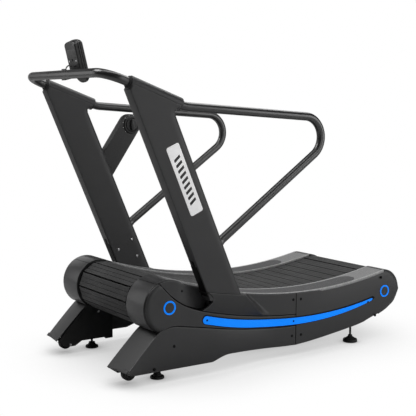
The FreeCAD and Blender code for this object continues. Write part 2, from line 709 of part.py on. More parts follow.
def tail_face():
    """Wall that wraps the rear end, just inside the rear cover's outline, one wall thick."""
    radius = s.rear_radius - 0.6
    outer, inner = under_rear(radius)[2:], under_rear(s.rear_radius - s.panel_wall)[2:]
    top, inner_top = polar(REAR_AXIS, radius, 90), polar(REAR_AXIS, s.rear_radius - s.panel_wall, 90)
    return face_of([
        edge_curve(outer), edge_arc(outer[-1], polar(REAR_AXIS, radius, 45), top),
        edge_line(top, inner_top),
        edge_arc(inner_top, polar(REAR_AXIS, s.rear_radius - s.panel_wall, 45), inner[-1]),
        edge_curve(inner[::-1]), edge_line(inner[0], outer[0])])


def make_covers():
    """The five moulded covers of each side, and the accents set into them."""
    inner = s.beam_inner + s.beam_thickness
    groove = carried_out(stripe_face(s.stripe_gap))
    lower = carried_out(lower_face()).common(wide_wall())
    leg_wall_face = polygon_face([(-836, 72), (-668, 246), (-668, 240), (-828, 72)])
    leg_wall = across(leg_wall_face, inner + s.leg_plate_wall + s.panel_seam, s.panel_wide - s.panel_wall)
    swept = carried_out(swept_face()).common(wide_wall()).cut(groove)
    rim_ends = (116, 230)
    rim = across(band_face(FRONT_AXIS, s.collar_radius - 13, s.collar_radius - 8, *rim_ends),
                 s.collar_outer + s.panel_seam, s.panel_wide - s.panel_wall + 0.5)
    swept = swept.fuse(rim).removeSplitter()
    lip = (s.rail_outer + s.panel_seam, s.panel_narrow - s.panel_wall + 0.5)
    mouth = polygon_face([(-411, 412), (-191, 376), (-150, deck_height(-150, 4)),
                          (-150, deck_height(-150)), (-191, 372), (-411, 408)])
    mouth = across(mouth, s.rail_outer + s.panel_seam, s.panel_bulge - s.panel_wall + 0.5)
    around_upright = across(upright_face(-s.panel_seam), s.upright_place - s.upright_width / 2 - s.panel_seam,
                            s.upright_place + s.upright_width / 2)
    upper = carried_out(upper_face()).common(bulge_wall())
    beside_shoulder = Part.makeBox(s.panel_narrow + s.panel_seam, 61, 60, Vector(0, -412, 390))
    mouth = mouth.cut(around_upright).cut(beside_shoulder).common(inside_bulge())
    upper = upper.fuse([mouth, across(deck_band(4, 4, -149, 189), *lip)])
    shoulder = carried_out(shoulder_face()).common(shoulder_wall(s.panel_wall))
    shoulder_lip = across(deck_band(4, 4, -500, -353), lip[0], s.panel_shoulder)
    shoulder = shoulder.fuse(shoulder_lip.common(shoulder_wall(s.panel_bulge)))
    rear = across(rear_face(), s.panel_narrow - s.panel_wall, s.panel_narrow)
    rear = rear.fuse(across(deck_band(4, 4, s.seam_y + s.panel_seam, s.rear_axis_y - 26), *lip))
    tail = across(tail_face(), s.rail_inner, s.panel_narrow - s.panel_wall + 0.5)
    rear = rear.fuse(tail).cut(groove).removeSplitter()
    collar = across(band_face(FRONT_AXIS, s.collar_radius - s.collar_wall, s.collar_radius, 47, 232),
                    s.collar_inner, s.collar_outer)
    stripe = carried_out(stripe_face(0)).common(wide_wall(s.stripe_sink, s.panel_wall - s.stripe_sink))
    for name, side in SIDES:
        for label, shape in (("lower_cover", lower.fuse(leg_wall)), ("cap_panel", swept),
                             ("upper_cover", upper), ("rear_cover", rear)):
            shaped(f"{label}_{name}", mirrored(shape, side))
    for label, shape in (("shoulder_covers", shoulder), ("drum_collars", collar), ("accent_stripes", stripe)):
        shaped(label, group([mirrored(shape, side) for name, side in SIDES]))
    rings = []
    for name, side in SIDES:
        for axis, face_x in ((FRONT_AXIS, s.panel_wide), (REAR_AXIS, s.panel_narrow)):
            ring = pipe(s.ring_radius, s.ring_radius - s.ring_band, face_x, face_x + s.ring_rise, axis)
            rings.append(mirrored(ring, side))
    shaped("accent_rings", group(rings))


def make_step_rails():
    """Step rails beside the belt, and the grip pads laid on them."""
    rail_front, rail_rear, pad_front, pad_rear = -500, 806, -492, 625
    rail = across(deck_band(s.rail_rise, s.rail_thickness, rail_front, rail_rear), s.rail_inner, s.rail_outer)
    pad = across(deck_band(s.rail_rise + s.grip_thickness, s.grip_thickness, pad_front, pad_rear),
                 s.rail_inner + s.grip_margin, s.rail_outer - s.grip_margin)
    for name, side in SIDES:
        shaped("step_rail_" + name, mirrored(rail, side))
    shaped("grip_pads", group([mirrored(pad, side) for name, side in SIDES]))


# ---------------------------------------------------------------- uprights and handrail

LEAN = math.tan(math.radians(s.upright_lean))
SLEEVE_DIRECTION = Vector(0, math.cos(math.radians(s.sleeve_slope)), -math.sin(math.radians(s.sleeve_slope)))
SLEEVE_UNDERSIDE = SLEEVE_DIRECTION.cross(X_AXIS)


def upright_y(z, offset=0.0):
    """Middle of an upright at height z, or a line that lies behind it by offset, square to the lean."""
    return s.upright_mid_y - (z - s.upright_mid_z) * LEAN + offset / math.cos(math.radians(s.upright_lean))


def sleeve_point(distance):
    """A point on the left sleeve's axis, measured back from its front end."""
    return Vector(s.upright_place, s.sleeve_y, s.sleeve_z) + SLEEVE_DIRECTION * distance


def edge_meets_sleeve(offset, drop):
    """Where an upright's edge line, offset behind its middle, meets a line drop below the sleeve's axis."""
    low, high = s.upright_foot_z - 50, s.sleeve_z + 200
    fall = drop / math.cos(math.radians(s.sleeve_slope))
    for step in range(60):
        middle = (low + high) / 2
        along = (upright_y(middle, offset) - s.sleeve_y) / SLEEVE_DIRECTION.y
        roof = s.sleeve_z + SLEEVE_DIRECTION.z * along - fall
        low, high = (middle, high) if middle < roof else (low, middle)
    return upright_y(low, offset), low


def upright_face(inset):
    """Side outline of an upright, drawn in by an inset. Its front corner is notched below the tube."""
    half = s.upright_depth / 2 - inset
    notch = s.upright_width / 2 + inset
    above = sleeve_point(inset) + SLEEVE_UNDERSIDE * inset
    under = sleeve_point(inset) + SLEEVE_UNDERSIDE * notch
    foot = s.upright_foot_z + inset
    return polygon_face([
        (upright_y(foot, -half), foot), (upright_y(foot, half), foot), edge_meets_sleeve(half, inset),
        (above.y, above.z), (under.y, under.z), edge_meets_sleeve(-half, notch)])


def make_uprights():
    """Box-section uprights, each with a round sleeve along its top for the handrail tubes."""
    low = s.upright_place - s.upright_width / 2
    high = low + s.upright_width
    box = across(upright_face(0), low, high)
    hollow = across(upright_face(s.upright_wall), low + s.upright_wall, high - s.upright_wall)
    sleeve_radius = s.upright_width / 2
    sleeve = Part.makeCylinder(sleeve_radius, s.sleeve_length, sleeve_point(0), SLEEVE_DIRECTION)
    bore = Part.makeCylinder(s.tube_radius + s.tube_slip, s.sleeve_length + 20, sleeve_point(-10), SLEEVE_DIRECTION)
    upright = box.fuse(sleeve).cut(hollow.cut(sleeve)).cut(bore).removeSplitter()
    for name, side in SIDES:
        shaped("upright_" + name, mirrored(upright, side))
    ring_length = 9
    rings = []
    for name, side in SIDES:
        ring = Part.makeCylinder(s.tube_radius + 6, ring_length, sleeve_point(-ring_length), SLEEVE_DIRECTION)
        rings.append(mirrored(ring.cut(bore), side))
    shaped("sleeve_rings", group(rings))


def bent_path(points, radii):
    """Straight runs through points, with a tangent arc of the given radius at each inner point."""
    edges = []
    start = points[0]
    for index in range(1, len(points) - 1):
        corner = points[index]
        into = (corner - points[index - 1]).normalize()
        out = (points[index + 1] - corner).normalize()
        turn = into.getAngle(out)
        reach = radii[index - 1] * math.tan(turn / 2)
        first, last = corner - into * reach, corner + out * reach
        inward = (out - into).normalize()
        middle = corner + inward * (reach / math.sin(turn / 2) * (1 / math.cos(turn / 2) - 1) * math.cos(turn / 2))
        edges += [Part.makeLine(start, first), Part.Arc(first, middle, last).toShape()]
        start = last
    edges.append(Part.makeLine(start, points[-1]))
    return Part.Wire(edges)


def swept_tube(path, outer, inner):
    """A round tube swept along a path of straight runs and tangent arcs."""
    start = path.OrderedEdges[0]
    origin = start.valueAt(start.FirstParameter)
    direction = start.tangentAt(start.FirstParameter)
    solids = []
    for radius in (outer, inner):
        if radius:
            ring = Part.Wire(Part.makeCircle(radius, origin, direction))
            solids.append(path.makePipeShell([ring], True, True))
    return solids[0] if len(solids) == 1 else solids[0].cut(solids[1])


def make_handrail():
    """Front crossbar and two rear loops. The three tubes meet inside the sleeves."""
    reach = s.sleeve_length * 0.45
    front = (s.crossbar_y - s.sleeve_y) / SLEEVE_DIRECTION.y
    left = [sleeve_point(reach), sleeve_point(front)]
    right = [Vector(-point.x, point.y, point.z) for point in reversed(left)]
    bar = bent_path(left + right, [s.crossbar_bend] * 2)
    inner = s.tube_radius - s.tube_wall
    shaped("crossbar", swept_tube(bar, s.tube_radius, inner))
    print("crossbar", round(bar.Length, 1), "mm, tightest bend", s.crossbar_bend)
    start = sleeve_point(reach + 6)
    kink = sleeve_point(s.sleeve_length + 24)
    corner = Vector(s.upright_place, s.rail_corner_y, s.rail_corner_z)
    slope = math.radians(s.rail_return_slope)
    back = Vector(0, -math.cos(slope), -math.sin(slope))
    low, high = 300.0, 1400.0
    for step in range(60):
        run = (low + high) / 2
        end = corner + back * run
        low, high = (run, high) if end.y > upright_y(end.z, s.upright_depth / 2 - 20) else (low, run)
    loop = bent_path([start, kink, corner, corner + back * run], [150, s.rail_bend])
    upright_outer = across(upright_face(0), s.upright_place - s.upright_width / 2,
                           s.upright_place + s.upright_width / 2)
    bore = Part.makeCylinder(s.tube_radius + s.tube_slip, s.sleeve_length + 20, sleeve_point(-10), SLEEVE_DIRECTION)
    rail = swept_tube(loop, s.tube_radius, inner).cut(upright_outer.cut(bore))
    rail = max(rail.Solids, key=lambda solid: solid.Volume)
    print("handrail", round(loop.Length, 1), "mm, tightest bend", s.rail_bend)
    for name, side in SIDES:
        shaped("handrail_" + name, mirrored(rail, side))


def make_side_plates():
    """A light plate on the outer face of each upright."""
    lean = Rotation(X_AXIS, s.upright_lean)
    outer = s.upright_place + s.upright_width / 2
    plate = Part.makeBox(s.plate_thickness, s.plate_width, s.plate_length,
                         Vector(0, s.plate_shift - s.plate_width / 2, -s.plate_length / 2))
    upright_edges = [edge for edge in plate.Edges if abs(edge.tangentAt(0).x) > 0.9]
    plate = plate.makeFillet(8, upright_edges)
    plate.Placement = Placement(Vector(outer, upright_y(s.plate_z), s.plate_z), lean)
    shaped("side_plates", group([mirrored(plate, side) for name, side in SIDES]))


# ---------------------------------------------------------------- selector arm

ARM_X = -s.upright_place + 1


def make_selector():
    """Flat arm behind the right upright, with the brake selector on its inner face."""
    slope = math.radians(s.arm_slope)
    end = (s.arm_end_y, s.arm_end_z)
    run = 330
    base = (end[0] - run * math.cos(slope), end[1] - run * math.sin(slope))
    half = s.arm_width / 2
    side_step = (-math.sin(slope) * half, math.cos(slope) * half)
    bar = polygon_face([
        (base[0] + side_step[0], base[1] + side_step[1]), (end[0] + side_step[0], end[1] + side_step[1]),
        (end[0] - side_step[0], end[1] - side_step[1]), (base[0] - side_step[0], base[1] - side_step[1])])
    whole = bar.fuse(disc_face(end, half)).removeSplitter()
    low_x, high_x = ARM_X - s.arm_thickness / 2, ARM_X + s.arm_thickness / 2
    solid = across(whole.Faces[0], low_x, high_x)
    wall = 4
    inner = Part.makeCompound([
        across(disc_face(end, half - wall), low_x + wall, high_x - wall),
        across(polygon_face([
            (base[0] + side_step[0] * 0.92, base[1] + side_step[1] * 0.92),
            (end[0] + side_step[0] * 0.92, end[1] + side_step[1] * 0.92),
            (end[0] - side_step[0] * 0.92, end[1] - side_step[1] * 0.92),
            (base[0] - side_step[0] * 0.92, base[1] - side_step[1] * 0.92)]), low_x + wall, high_x - wall)])
    upright = across(upright_face(0), low_x - 40, high_x + 40)
    spindle_radius = 6
    bore = rod(spindle_radius + s.fit_gap, high_x - wall - 1, high_x + 1, end)
    for solid_hole in inner.Solids:
        solid = solid.cut(solid_hole)
    solid = solid.cut(upright).cut(bore)
    shaped("selector_arm", max(solid.Solids, key=lambda piece: piece.Volume))
    ring_depth = 7
    shaped("selector_ring", pipe(s.dial_radius + 12, s.dial_radius + 0.6, high_x, high_x + ring_depth, end))
    hub = rod(s.dial_radius, high_x + 0.4, high_x + 0.4 + ring_depth, end)
    grip = Part.makeBox(s.dial_depth - ring_depth, s.dial_radius * 0.62, s.dial_radius * 1.7,
                        Vector(high_x + ring_depth, end[0] - s.dial_radius * 0.31, end[1] - s.dial_radius * 0.85))
    spindle = rod(spindle_radius, high_x - wall + 0.5, high_x + 1, end)
    shaped("selector_dial", hub.fuse([grip, spindle]).removeSplitter())


# ---------------------------------------------------------------- console

CONSOLE = Placement(Vector(0, s.console_back_y, sleeve_point(
    (s.crossbar_y - s.sleeve_y) / SLEEVE_DIRECTION.y).z), Rotation(X_AXIS, s.console_tilt))


def in_console(shape):
    """Carry a shape from the console's own frame: X across, Y from its back to its face, Z up its tilt."""
    shape.Placement = CONSOLE.multiply(shape.Placement)
    return shape


def console_block(half_width, low_z, high_z, depth, start_y, low_round, high_round):
    """A plate in the console's frame with round lower and upper corners."""
    low, high = low_round, high_round
    points = [Vector(-half_width, start_y, low_z + low), Vector(-half_width, start_y, high_z - high),
              Vector(half_width, start_y, high_z - high), Vector(half_width, start_y, low_z + low)]
    crown = Part.Arc(points[1], Vector(0, start_y, high_z), points[2]).toShape()
    chin = Part.Arc(points[3], Vector(0, start_y, low_z), points[0]).toShape()
    sides = [Part.makeLine(points[0], points[1]), Part.makeLine(points[2], points[3])]
    face = Part.Face(Part.Wire([sides[0], crown, sides[1], chin]))
    return face.extrude(Vector(0, depth, 0))


def make_console():
    half = s.console_width / 2
    housing_half, wall = half - 3, 3
    door_low, door_high, door_half, door_wall = 77, 119, 42, 2.5
    housing = console_block(housing_half, -12, s.console_top - 4, s.housing_depth, 0, 10, 14)
    hollow = console_block(housing_half - wall, -12 + wall, s.console_top - 4 - wall,
                           s.housing_depth - 4, wall + 4, 10, 14)
    recess = Part.makeBox(2 * door_half + 0.6, door_wall + 0.3, door_high - door_low + 0.6,
                          Vector(-door_half - 0.3, -0.01, door_low - 0.3))
    lead_seat = Part.makeCylinder(s.lead_radius + 0.2, 3, Vector(0, -0.01, 40), Y_AXIS)
    screw_spots = [(side * 35, 65) for name, side in SIDES]
    screws = []
    for x, z in screw_spots:
        screws.append(Part.makeCylinder(4.2, 2.4, Vector(x, -2.4, z), Y_AXIS))
    housing = housing.cut(hollow).cut(recess).cut(lead_seat)
    shaped("console_housing", in_console(solids_of(housing)))
    door = Part.makeBox(2 * door_half, door_wall, door_high - door_low, Vector(-door_half, 0, door_low))
    shaped("battery_door", in_console(door))
    shaped("console_screws", in_console(group(screws)))
    face_y = s.housing_depth + s.bezel_depth
    bezel = console_block(half, -s.console_bottom, s.console_top, s.bezel_depth, s.housing_depth, 46, 16)
    cavity = console_block(half - wall, -s.console_bottom + wall, s.console_top - wall,
                           s.bezel_depth - 5, s.housing_depth + 2, 46, 16)
    lens_half, lens_low, lens_high, lens_wall = 45, 62, 142, 2
    window = Part.makeBox(2 * lens_half + 0.4, lens_wall + 0.2, lens_high - lens_low + 0.4,
                          Vector(-lens_half - 0.2, face_y - lens_wall, lens_low - 0.2))
    bezel = bezel.cut(cavity).cut(window)
    button_spots = {"reset": (-32, 36), "mode": (0, 30), "set": (32, 36)}
    for x, z in button_spots.values():
        bezel = bezel.cut(Part.makeCylinder(s.button_radius + 0.25, 12, Vector(x, face_y - 6, z), Y_AXIS))
    shaped("console_bezel", in_console(solids_of(bezel)))
    lens = Part.makeBox(2 * lens_half, lens_wall, lens_high - lens_low,
                        Vector(-lens_half, face_y - lens_wall, lens_low))
    shaped("display_lens", in_console(lens))
    for name, (x, z) in button_spots.items():
        button = Part.makeCylinder(s.button_radius, 5.5, Vector(x, face_y - 3.5, z), Y_AXIS)
        shaped("button_" + name, in_console(button))


def make_bracket():
    """Saddle that clamps the console to the crossbar, and the lead between them."""
    bar = (s.crossbar_y, CONSOLE.Base.z)
    half = 17
    behind = Part.makeBox(2 * half, 40, 80, Vector(-half, bar[0] + 3, bar[1] - 40))
    saddle = pipe(s.tube_radius + 6, s.tube_radius + s.fit_gap, -half, half, bar).common(behind)
    arm = in_console(Part.makeBox(2 * half, 60, 22, Vector(-half, -60, -11)))
    arm = arm.cut(rod(s.tube_radius + 3, -half - 1, half + 1, bar))
    front = Part.makeBox(100, 200, 200, Vector(-50, bar[0] - 200, bar[1] - 100))
    shaped("console_bracket", saddle.fuse(arm.cut(front)).removeSplitter())
    socket = CONSOLE.multVec(Vector(0, 1, 40))
    outlet = Vector(24, s.crossbar_y + 4, CONSOLE.Base.z + s.tube_radius)
    rise = Vector(22, s.crossbar_y + 14, CONSOLE.Base.z + s.tube_radius + 22)
    enter = CONSOLE.multVec(Vector(0, -15, 40))
    route = [outlet, rise, enter, socket]
    radii = []
    for before, point, after in zip(route, route[1:], route[2:]):
        turn = (point - before).getAngle(after - point)
        radii.append(0.45 * min((point - before).Length, (after - point).Length) / math.tan(turn / 2))
    path = bent_path(route, radii)
    lead = swept_tube(path, s.lead_radius, 0)
    shaped("sensor_lead", lead.cut(rod(s.tube_radius, -60, 60, bar)))
    print("lead", round(path.Length, 1), "mm, bends", [round(radius, 1) for radius in radii],
          "volume ratio", round(lead.Volume / (math.pi * s.lead_radius ** 2 * path.Length), 3))


# ---------------------------------------------------------------- fasteners

def make_cover_screws():
    """Cover screws on both sides, and the bolts on the uprights' inner faces."""
    head = 2.5
    wide = [(-575, 170), (-682, 76)]
    narrow = [(172, 294), (222, 292), (165, 106), (225, 104), (790, 345), (750, 139)]
    shoulder = [(-545, 428)]
    heads = []
    for spots, face_x in ((wide, s.panel_wide), (narrow, s.panel_narrow), (shoulder, s.panel_shoulder)):
        heads += [rod(s.screw_radius, face_x, face_x + head, spot) for spot in spots]
    inner_face = s.upright_place - s.upright_width / 2
    for z, offset in ((500, -50), (550, 45), (455, 38)):
        heads.append(rod(s.screw_radius + 2, inner_face - 4, inner_face, (upright_y(z, offset), z)))
    shaped("cover_screws", group([mirrored(piece, side) for piece in heads for name, side in SIDES]))


# ---------------------------------------------------------------- build and check

def check_document():
    """Stop if any object failed, or any sub-part has no sound shape."""
    for obj in doc.Objects:
        if "Invalid" in obj.State or "Error" in obj.State:
            raise RuntimeError(f"{obj.Label} failed: {obj.State}")
    for obj in nodes:
        if obj.Shape.isNull() or not obj.Shape.isValid() or not obj.Shape.Solids:
            raise RuntimeError(f"{obj.Label} has no sound shape")


for make in (make_treads, make_shafts, make_pulleys, make_bearings, make_guides, make_brake, make_beams,
             make_cross_members, make_leg_plates, make_feet, make_wheels, make_covers, make_step_rails,
             make_uprights, make_handrail, make_side_plates, make_selector, make_console, make_bracket,
             make_cover_screws):
    make()
doc.recompute()
check_document()
os.makedirs("parts", exist_ok=True)
for obj in nodes:
    obj.Shape.exportStep(f"parts/{obj.Label}.step")
print(len(nodes), "sub-parts, slat pitch", round(slat_pitch, 2), "deck radius", round(deck_radius, 1))
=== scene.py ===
import math

import bmesh
import bpy
import numpy as np
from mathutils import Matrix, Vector


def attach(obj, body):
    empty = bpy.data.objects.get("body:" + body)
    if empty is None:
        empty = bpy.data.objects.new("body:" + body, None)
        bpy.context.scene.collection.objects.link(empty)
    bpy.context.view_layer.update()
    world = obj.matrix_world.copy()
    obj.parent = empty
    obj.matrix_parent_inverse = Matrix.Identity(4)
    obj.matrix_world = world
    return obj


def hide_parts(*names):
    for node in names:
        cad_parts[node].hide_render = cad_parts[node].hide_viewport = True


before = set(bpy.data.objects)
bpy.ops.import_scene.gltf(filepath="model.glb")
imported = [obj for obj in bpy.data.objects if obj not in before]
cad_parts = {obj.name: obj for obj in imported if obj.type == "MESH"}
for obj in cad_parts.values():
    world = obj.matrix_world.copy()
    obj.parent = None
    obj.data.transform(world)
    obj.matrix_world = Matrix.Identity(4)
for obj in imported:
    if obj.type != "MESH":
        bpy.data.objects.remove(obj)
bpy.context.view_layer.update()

# Looks of a curved manual treadmill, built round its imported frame.
# Lengths are millimetres in the frame's axes until a mesh is made: X to the runner's left, -Y is the front.

MM = 0.001
SIDES = (("left", 1), ("right", -1))
ACROSS = (1, 0, 0)


def placed(name, data):
    """A new object in the scene that carries the data."""
    made = bpy.data.objects.new(name, data)
    bpy.context.scene.collection.objects.link(made)
    return made


camera = placed("camera", bpy.data.cameras.new("camera"))
camera.location = (4.046, -2.810, 1.297)
camera.rotation_euler = (math.radians(83.562), 0.0, math.radians(56.10))
camera.data.lens, camera.data.sensor_width, camera.data.clip_end = 80.68, 36.0, 200.0
bpy.context.scene.camera = camera


# Shader groups

def feed(tree, made, values):
    """Sets a node's inputs, by name or number, to plain values, or links them to sockets."""
    for key, value in values.items():
        if isinstance(value, bpy.types.NodeSocket):
            tree.links.new(value, made.inputs[key])
        else:
            made.inputs[key].default_value = value
    return made


def node(tree, kind, values=None, **options):
    """A new shader node with its options and inputs set."""
    made = tree.nodes.new("ShaderNode" + kind)
    for option, value in options.items():
        setattr(made, option, value)
    return feed(tree, made, values or {})


def noise(tree, vector, scale, detail=2.0, rough=0.5):
    return node(tree, "TexNoise", {"Vector": vector, "Scale": scale, "Detail": detail,
                                   "Roughness": rough}).outputs["Fac"]


def mapped(tree, value, low, high, to_low, to_high):
    """Value carried from low..high to to_low..to_high, held at the ends."""
    return node(tree, "MapRange", {"Value": value, "From Min": low, "From Max": high, "To Min": to_low,
                                   "To Max": to_high}).outputs["Result"]


def arithmetic(tree, operation, first, second):
    return node(tree, "Math", {0: first, 1: second}, operation=operation).outputs["Value"]


def shader_group(name, floats, outputs, build):
    """A node group with a Vector and float inputs; build returns a socket for each float output."""
    tree = bpy.data.node_groups.new(name, "ShaderNodeTree")
    tree.interface.new_socket("Vector", in_out="INPUT", socket_type="NodeSocketVector")
    for way, labels in (("INPUT", floats), ("OUTPUT", outputs)):
        for label in labels:
            tree.interface.new_socket(label, in_out=way, socket_type="NodeSocketFloat")
    entry, end = tree.nodes.new("NodeGroupInput"), tree.nodes.new("NodeGroupOutput")
    feed(tree, end, dict(zip(outputs, build(tree, entry.outputs))))
    return tree


def grain_values(tree, entry):
    """Moulded or sprayed surface: fine pebbles give height and flecks, broad clouds give tone."""
    fine = noise(tree, entry["Vector"], entry["Scale"])
    broad = noise(tree, entry["Vector"], 7.0, 3.0)
    return fine, mapped(tree, broad, 0.3, 0.7, 0.0, 1.0), mapped(tree, fine, 0.55, 0.72, 0.0, 1.0)


def wear_light_and_shade_values(tree, entry):
    """Edge marks: the mesh's edge value above 0 broken up by noise, abrasion with a painted edge highlight; and
    painted shade, the same value below 0.
    """
    broken = mapped(tree, noise(tree, entry["Vector"], 110.0, 4.0), 0.35, 0.65, 0.35, 1.0)
    return arithmetic(tree, "MULTIPLY", entry["Edge"], broken), mapped(tree, entry["Edge"], 0.0, -1.0, 0.0, 1.0)


def scuff_values(tree, entry):
    """Dust and scuffs: sparse soft marks where two noises agree."""
    patches = mapped(tree, noise(tree, entry["Vector"], 11.0, 4.0, 0.7), 0.56, 0.8, 0.0, 1.0)
    specks = mapped(tree, noise(tree, entry["Vector"], 240.0), 0.5, 0.75, 0.2, 1.0)
    return [arithmetic(tree, "MULTIPLY", patches, specks)]


GRAIN = shader_group("surface_grain", ["Scale"], ["Height", "Cloud", "Fleck"], grain_values)
# Edge marks: abrasion with a painted edge highlight where the edge value is above 0, painted shade where it is
# below 0.
WEAR_LIGHT_AND_SHADE = shader_group("edge_wear_light_and_shade", ["Edge"], ["Mask", "PaintedShade"], wear_light_and_shade_values)
SCUFFS = shader_group("scuffs", [], ["Mask"], scuff_values)


# Materials

def finish(name, colour, rough, grain, depth=0.03, cloud=None, edge_wear_and_light=None, fleck=None, scuff=0.15, metal=0.0,
           coat=0.0, specular=0.5, painted_glow=0.0):
    """A material: base colour clouded towards a second, taken at edges towards a third for abrasion with painted
    edge light, taken to painted shade where the edge value is below 0, with grain bump.

    rough is its roughness where the cloud is 0 and 1, grain counts pebbles to a metre, depth is the bump in
    millimetres.
    """
    material = bpy.data.materials.new(name)
    material.use_nodes = True
    tree = material.node_tree
    spot = node(tree, "TexCoord").outputs["Object"]
    edge = node(tree, "Attribute", attribute_name="edge").outputs["Fac"]
    surface = node(tree, "Group", {"Vector": spot, "Scale": grain}, node_tree=GRAIN).outputs
    wear_light_shade = node(tree, "Group", {"Vector": spot, "Edge": edge}, node_tree=WEAR_LIGHT_AND_SHADE).outputs
    marks = node(tree, "Group", {"Vector": spot}, node_tree=SCUFFS).outputs["Mask"]

    def blend(amount, first, second):
        ends = {"Factor": amount, "A": (*first, 1.0) if isinstance(first, tuple) else first, "B": (*second, 1.0)}
        return node(tree, "Mix", ends, data_type="RGBA", clamp_factor=True).outputs["Result"]

    def shade(share, lift=0.0):
        return tuple(min(1.0, part * share + lift) for part in colour)

    paint = blend(surface["Cloud"], colour, cloud or shade(1.18))
    if fleck:
        paint = blend(surface["Fleck"], paint, fleck)
    # Edges take the third colour: abrasion together with painted edge light.
    paint = blend(wear_light_shade["Mask"], paint, edge_wear_and_light or shade(2.2, 0.01))
    paint = blend(arithmetic(tree, "MULTIPLY", marks, scuff), paint, shade(1.6, 0.012))
    # Painted shade: towards near black in seams, gaps, creases and under parts, where the edge value is below 0.
    paint = blend(wear_light_shade["PaintedShade"], paint, shade(0.04))
    dull = arithmetic(tree, "ADD", mapped(tree, surface["Cloud"], 0.0, 1.0, *rough),
                      arithmetic(tree, "MULTIPLY", marks, 0.8 * scuff))
    bump = node(tree, "Bump", {"Strength": 0.6, "Distance": depth * MM, "Height": surface["Height"]})
    shader = feed(tree, tree.nodes["Principled BSDF"], {
        "Base Color": paint, "Roughness": dull, "Normal": bump.outputs["Normal"], "Metallic": metal,
        "Coat Weight": coat, "Specular IOR Level": specular})
    # Painted light: the part lights itself for camera rays, though it is no lamp.
    if painted_glow:
        seen = node(tree, "LightPath").outputs["Is Camera Ray"]
        feed(tree, shader, {"Emission Color": paint,
                            "Emission Strength": arithmetic(tree, "MULTIPLY", seen, painted_glow)})
    return material


def grey(value, cool=0.0):
    """A grey, a little bluer by cool."""
    return value, value, value + cool


charcoal_moulding = finish("charcoal_moulding", grey(0.030, 0.001), (0.42, 0.52), 700, 0.02, edge_wear_and_light=grey(0.12))
collar_moulding = finish("collar_moulding", grey(0.030, 0.001), (0.29, 0.33), 700, 0.01, edge_wear_and_light=grey(0.12),
                         scuff=0.04)
slat_rubber = finish("slat_rubber", grey(0.018, 0.0005), (0.55, 0.68), 500, 0.05, edge_wear_and_light=grey(0.07), scuff=0.35)
rail_moulding = finish("rail_moulding", grey(0.19), (0.5, 0.6), 280, 0.08, edge_wear_and_light=grey(0.55), fleck=grey(0.36),
                       scuff=0.3)
grip_surface = finish("grip_surface", grey(0.068, 0.002), (0.75, 0.85), 420, 0.3, edge_wear_and_light=grey(0.16),
                      fleck=grey(0.22), scuff=0.3)
powder_paint = finish("powder_paint", grey(0.028, 0.001), (0.40, 0.5), 1100, 0.012, edge_wear_and_light=grey(0.10))
# A darker copy of the powder paint for the selector arm: painted shade on the arm.
shaded_arm_paint = finish("shaded_arm_paint", grey(0.012, 0.0005), (0.40, 0.5), 1100, 0.012, edge_wear_and_light=grey(0.06))
tube_paint = finish("tube_paint", grey(0.016, 0.0005), (0.27, 0.31), 350, 0.001, edge_wear_and_light=grey(0.06), scuff=0.0,
                    specular=1.0)
inner_paint = finish("inner_paint", grey(0.006, 0.0002), (0.5, 0.65), 900, 0.04, edge_wear_and_light=grey(0.03))
foot_rubber = finish("foot_rubber", grey(0.010, 0.0005), (0.6, 0.75), 600, 0.1, edge_wear_and_light=grey(0.03))
# The blue insert lights itself for the camera: painted light.
blue_insert = finish("blue_insert", (0.001, 0.235, 1.0), (0.4, 0.5), 500, 0.01, cloud=(0.001, 0.215, 0.95),
                     edge_wear_and_light=(0.001, 0.15, 0.72), scuff=0.0, specular=0.15, painted_glow=0.5)
# The pale plate, and the dial ticks made of it, light themselves a little for the camera: painted light.
pale_plate = finish("pale_plate", grey(0.90), (0.4, 0.5), 900, 0.01, cloud=grey(0.76, 0.005), edge_wear_and_light=grey(0.6),
                    scuff=0.0, painted_glow=0.3)
plate_ink = finish("plate_ink", grey(0.012, 0.001), (0.45, 0.55), 900, 0.01)
bright_steel = finish("bright_steel", grey(0.56, 0.01), (0.24, 0.36), 1500, 0.01, edge_wear_and_light=grey(0.7), metal=1.0)
cast_metal = finish("cast_metal", grey(0.30, 0.01), (0.45, 0.6), 500, 0.15, metal=1.0)
black_screw = finish("black_screw", grey(0.0015), (0.5, 0.6), 900, 0.02, cloud=grey(0.002), edge_wear_and_light=grey(0.004),
                     scuff=0.0, specular=0.15)
console_shell = finish("console_shell", grey(0.007, 0.0005), (0.3, 0.42), 900, 0.04, edge_wear_and_light=grey(0.035))
door_moulding = finish("door_moulding", grey(0.085), (0.5, 0.6), 700, 0.05)
grey_key = finish("grey_key", grey(0.20, 0.01), (0.4, 0.5), 900)
dark_window = finish("dark_window", (0.035, 0.042, 0.038), (0.08, 0.14), 200, 0.004, scuff=0.05, coat=0.6)
grey_lead = finish("grey_lead", grey(0.11), (0.45, 0.6), 900)


# Meshes

def border(rows, columns):
    """Row and column numbers once round the border of a grid."""
    grid = np.arange(rows * columns).reshape(rows, columns)
    ring = np.concatenate([grid[:, 0], grid[-1, 1:], grid[-2::-1, -1], grid[0, -2:0:-1]])
    return np.unravel_index(ring, grid.shape)


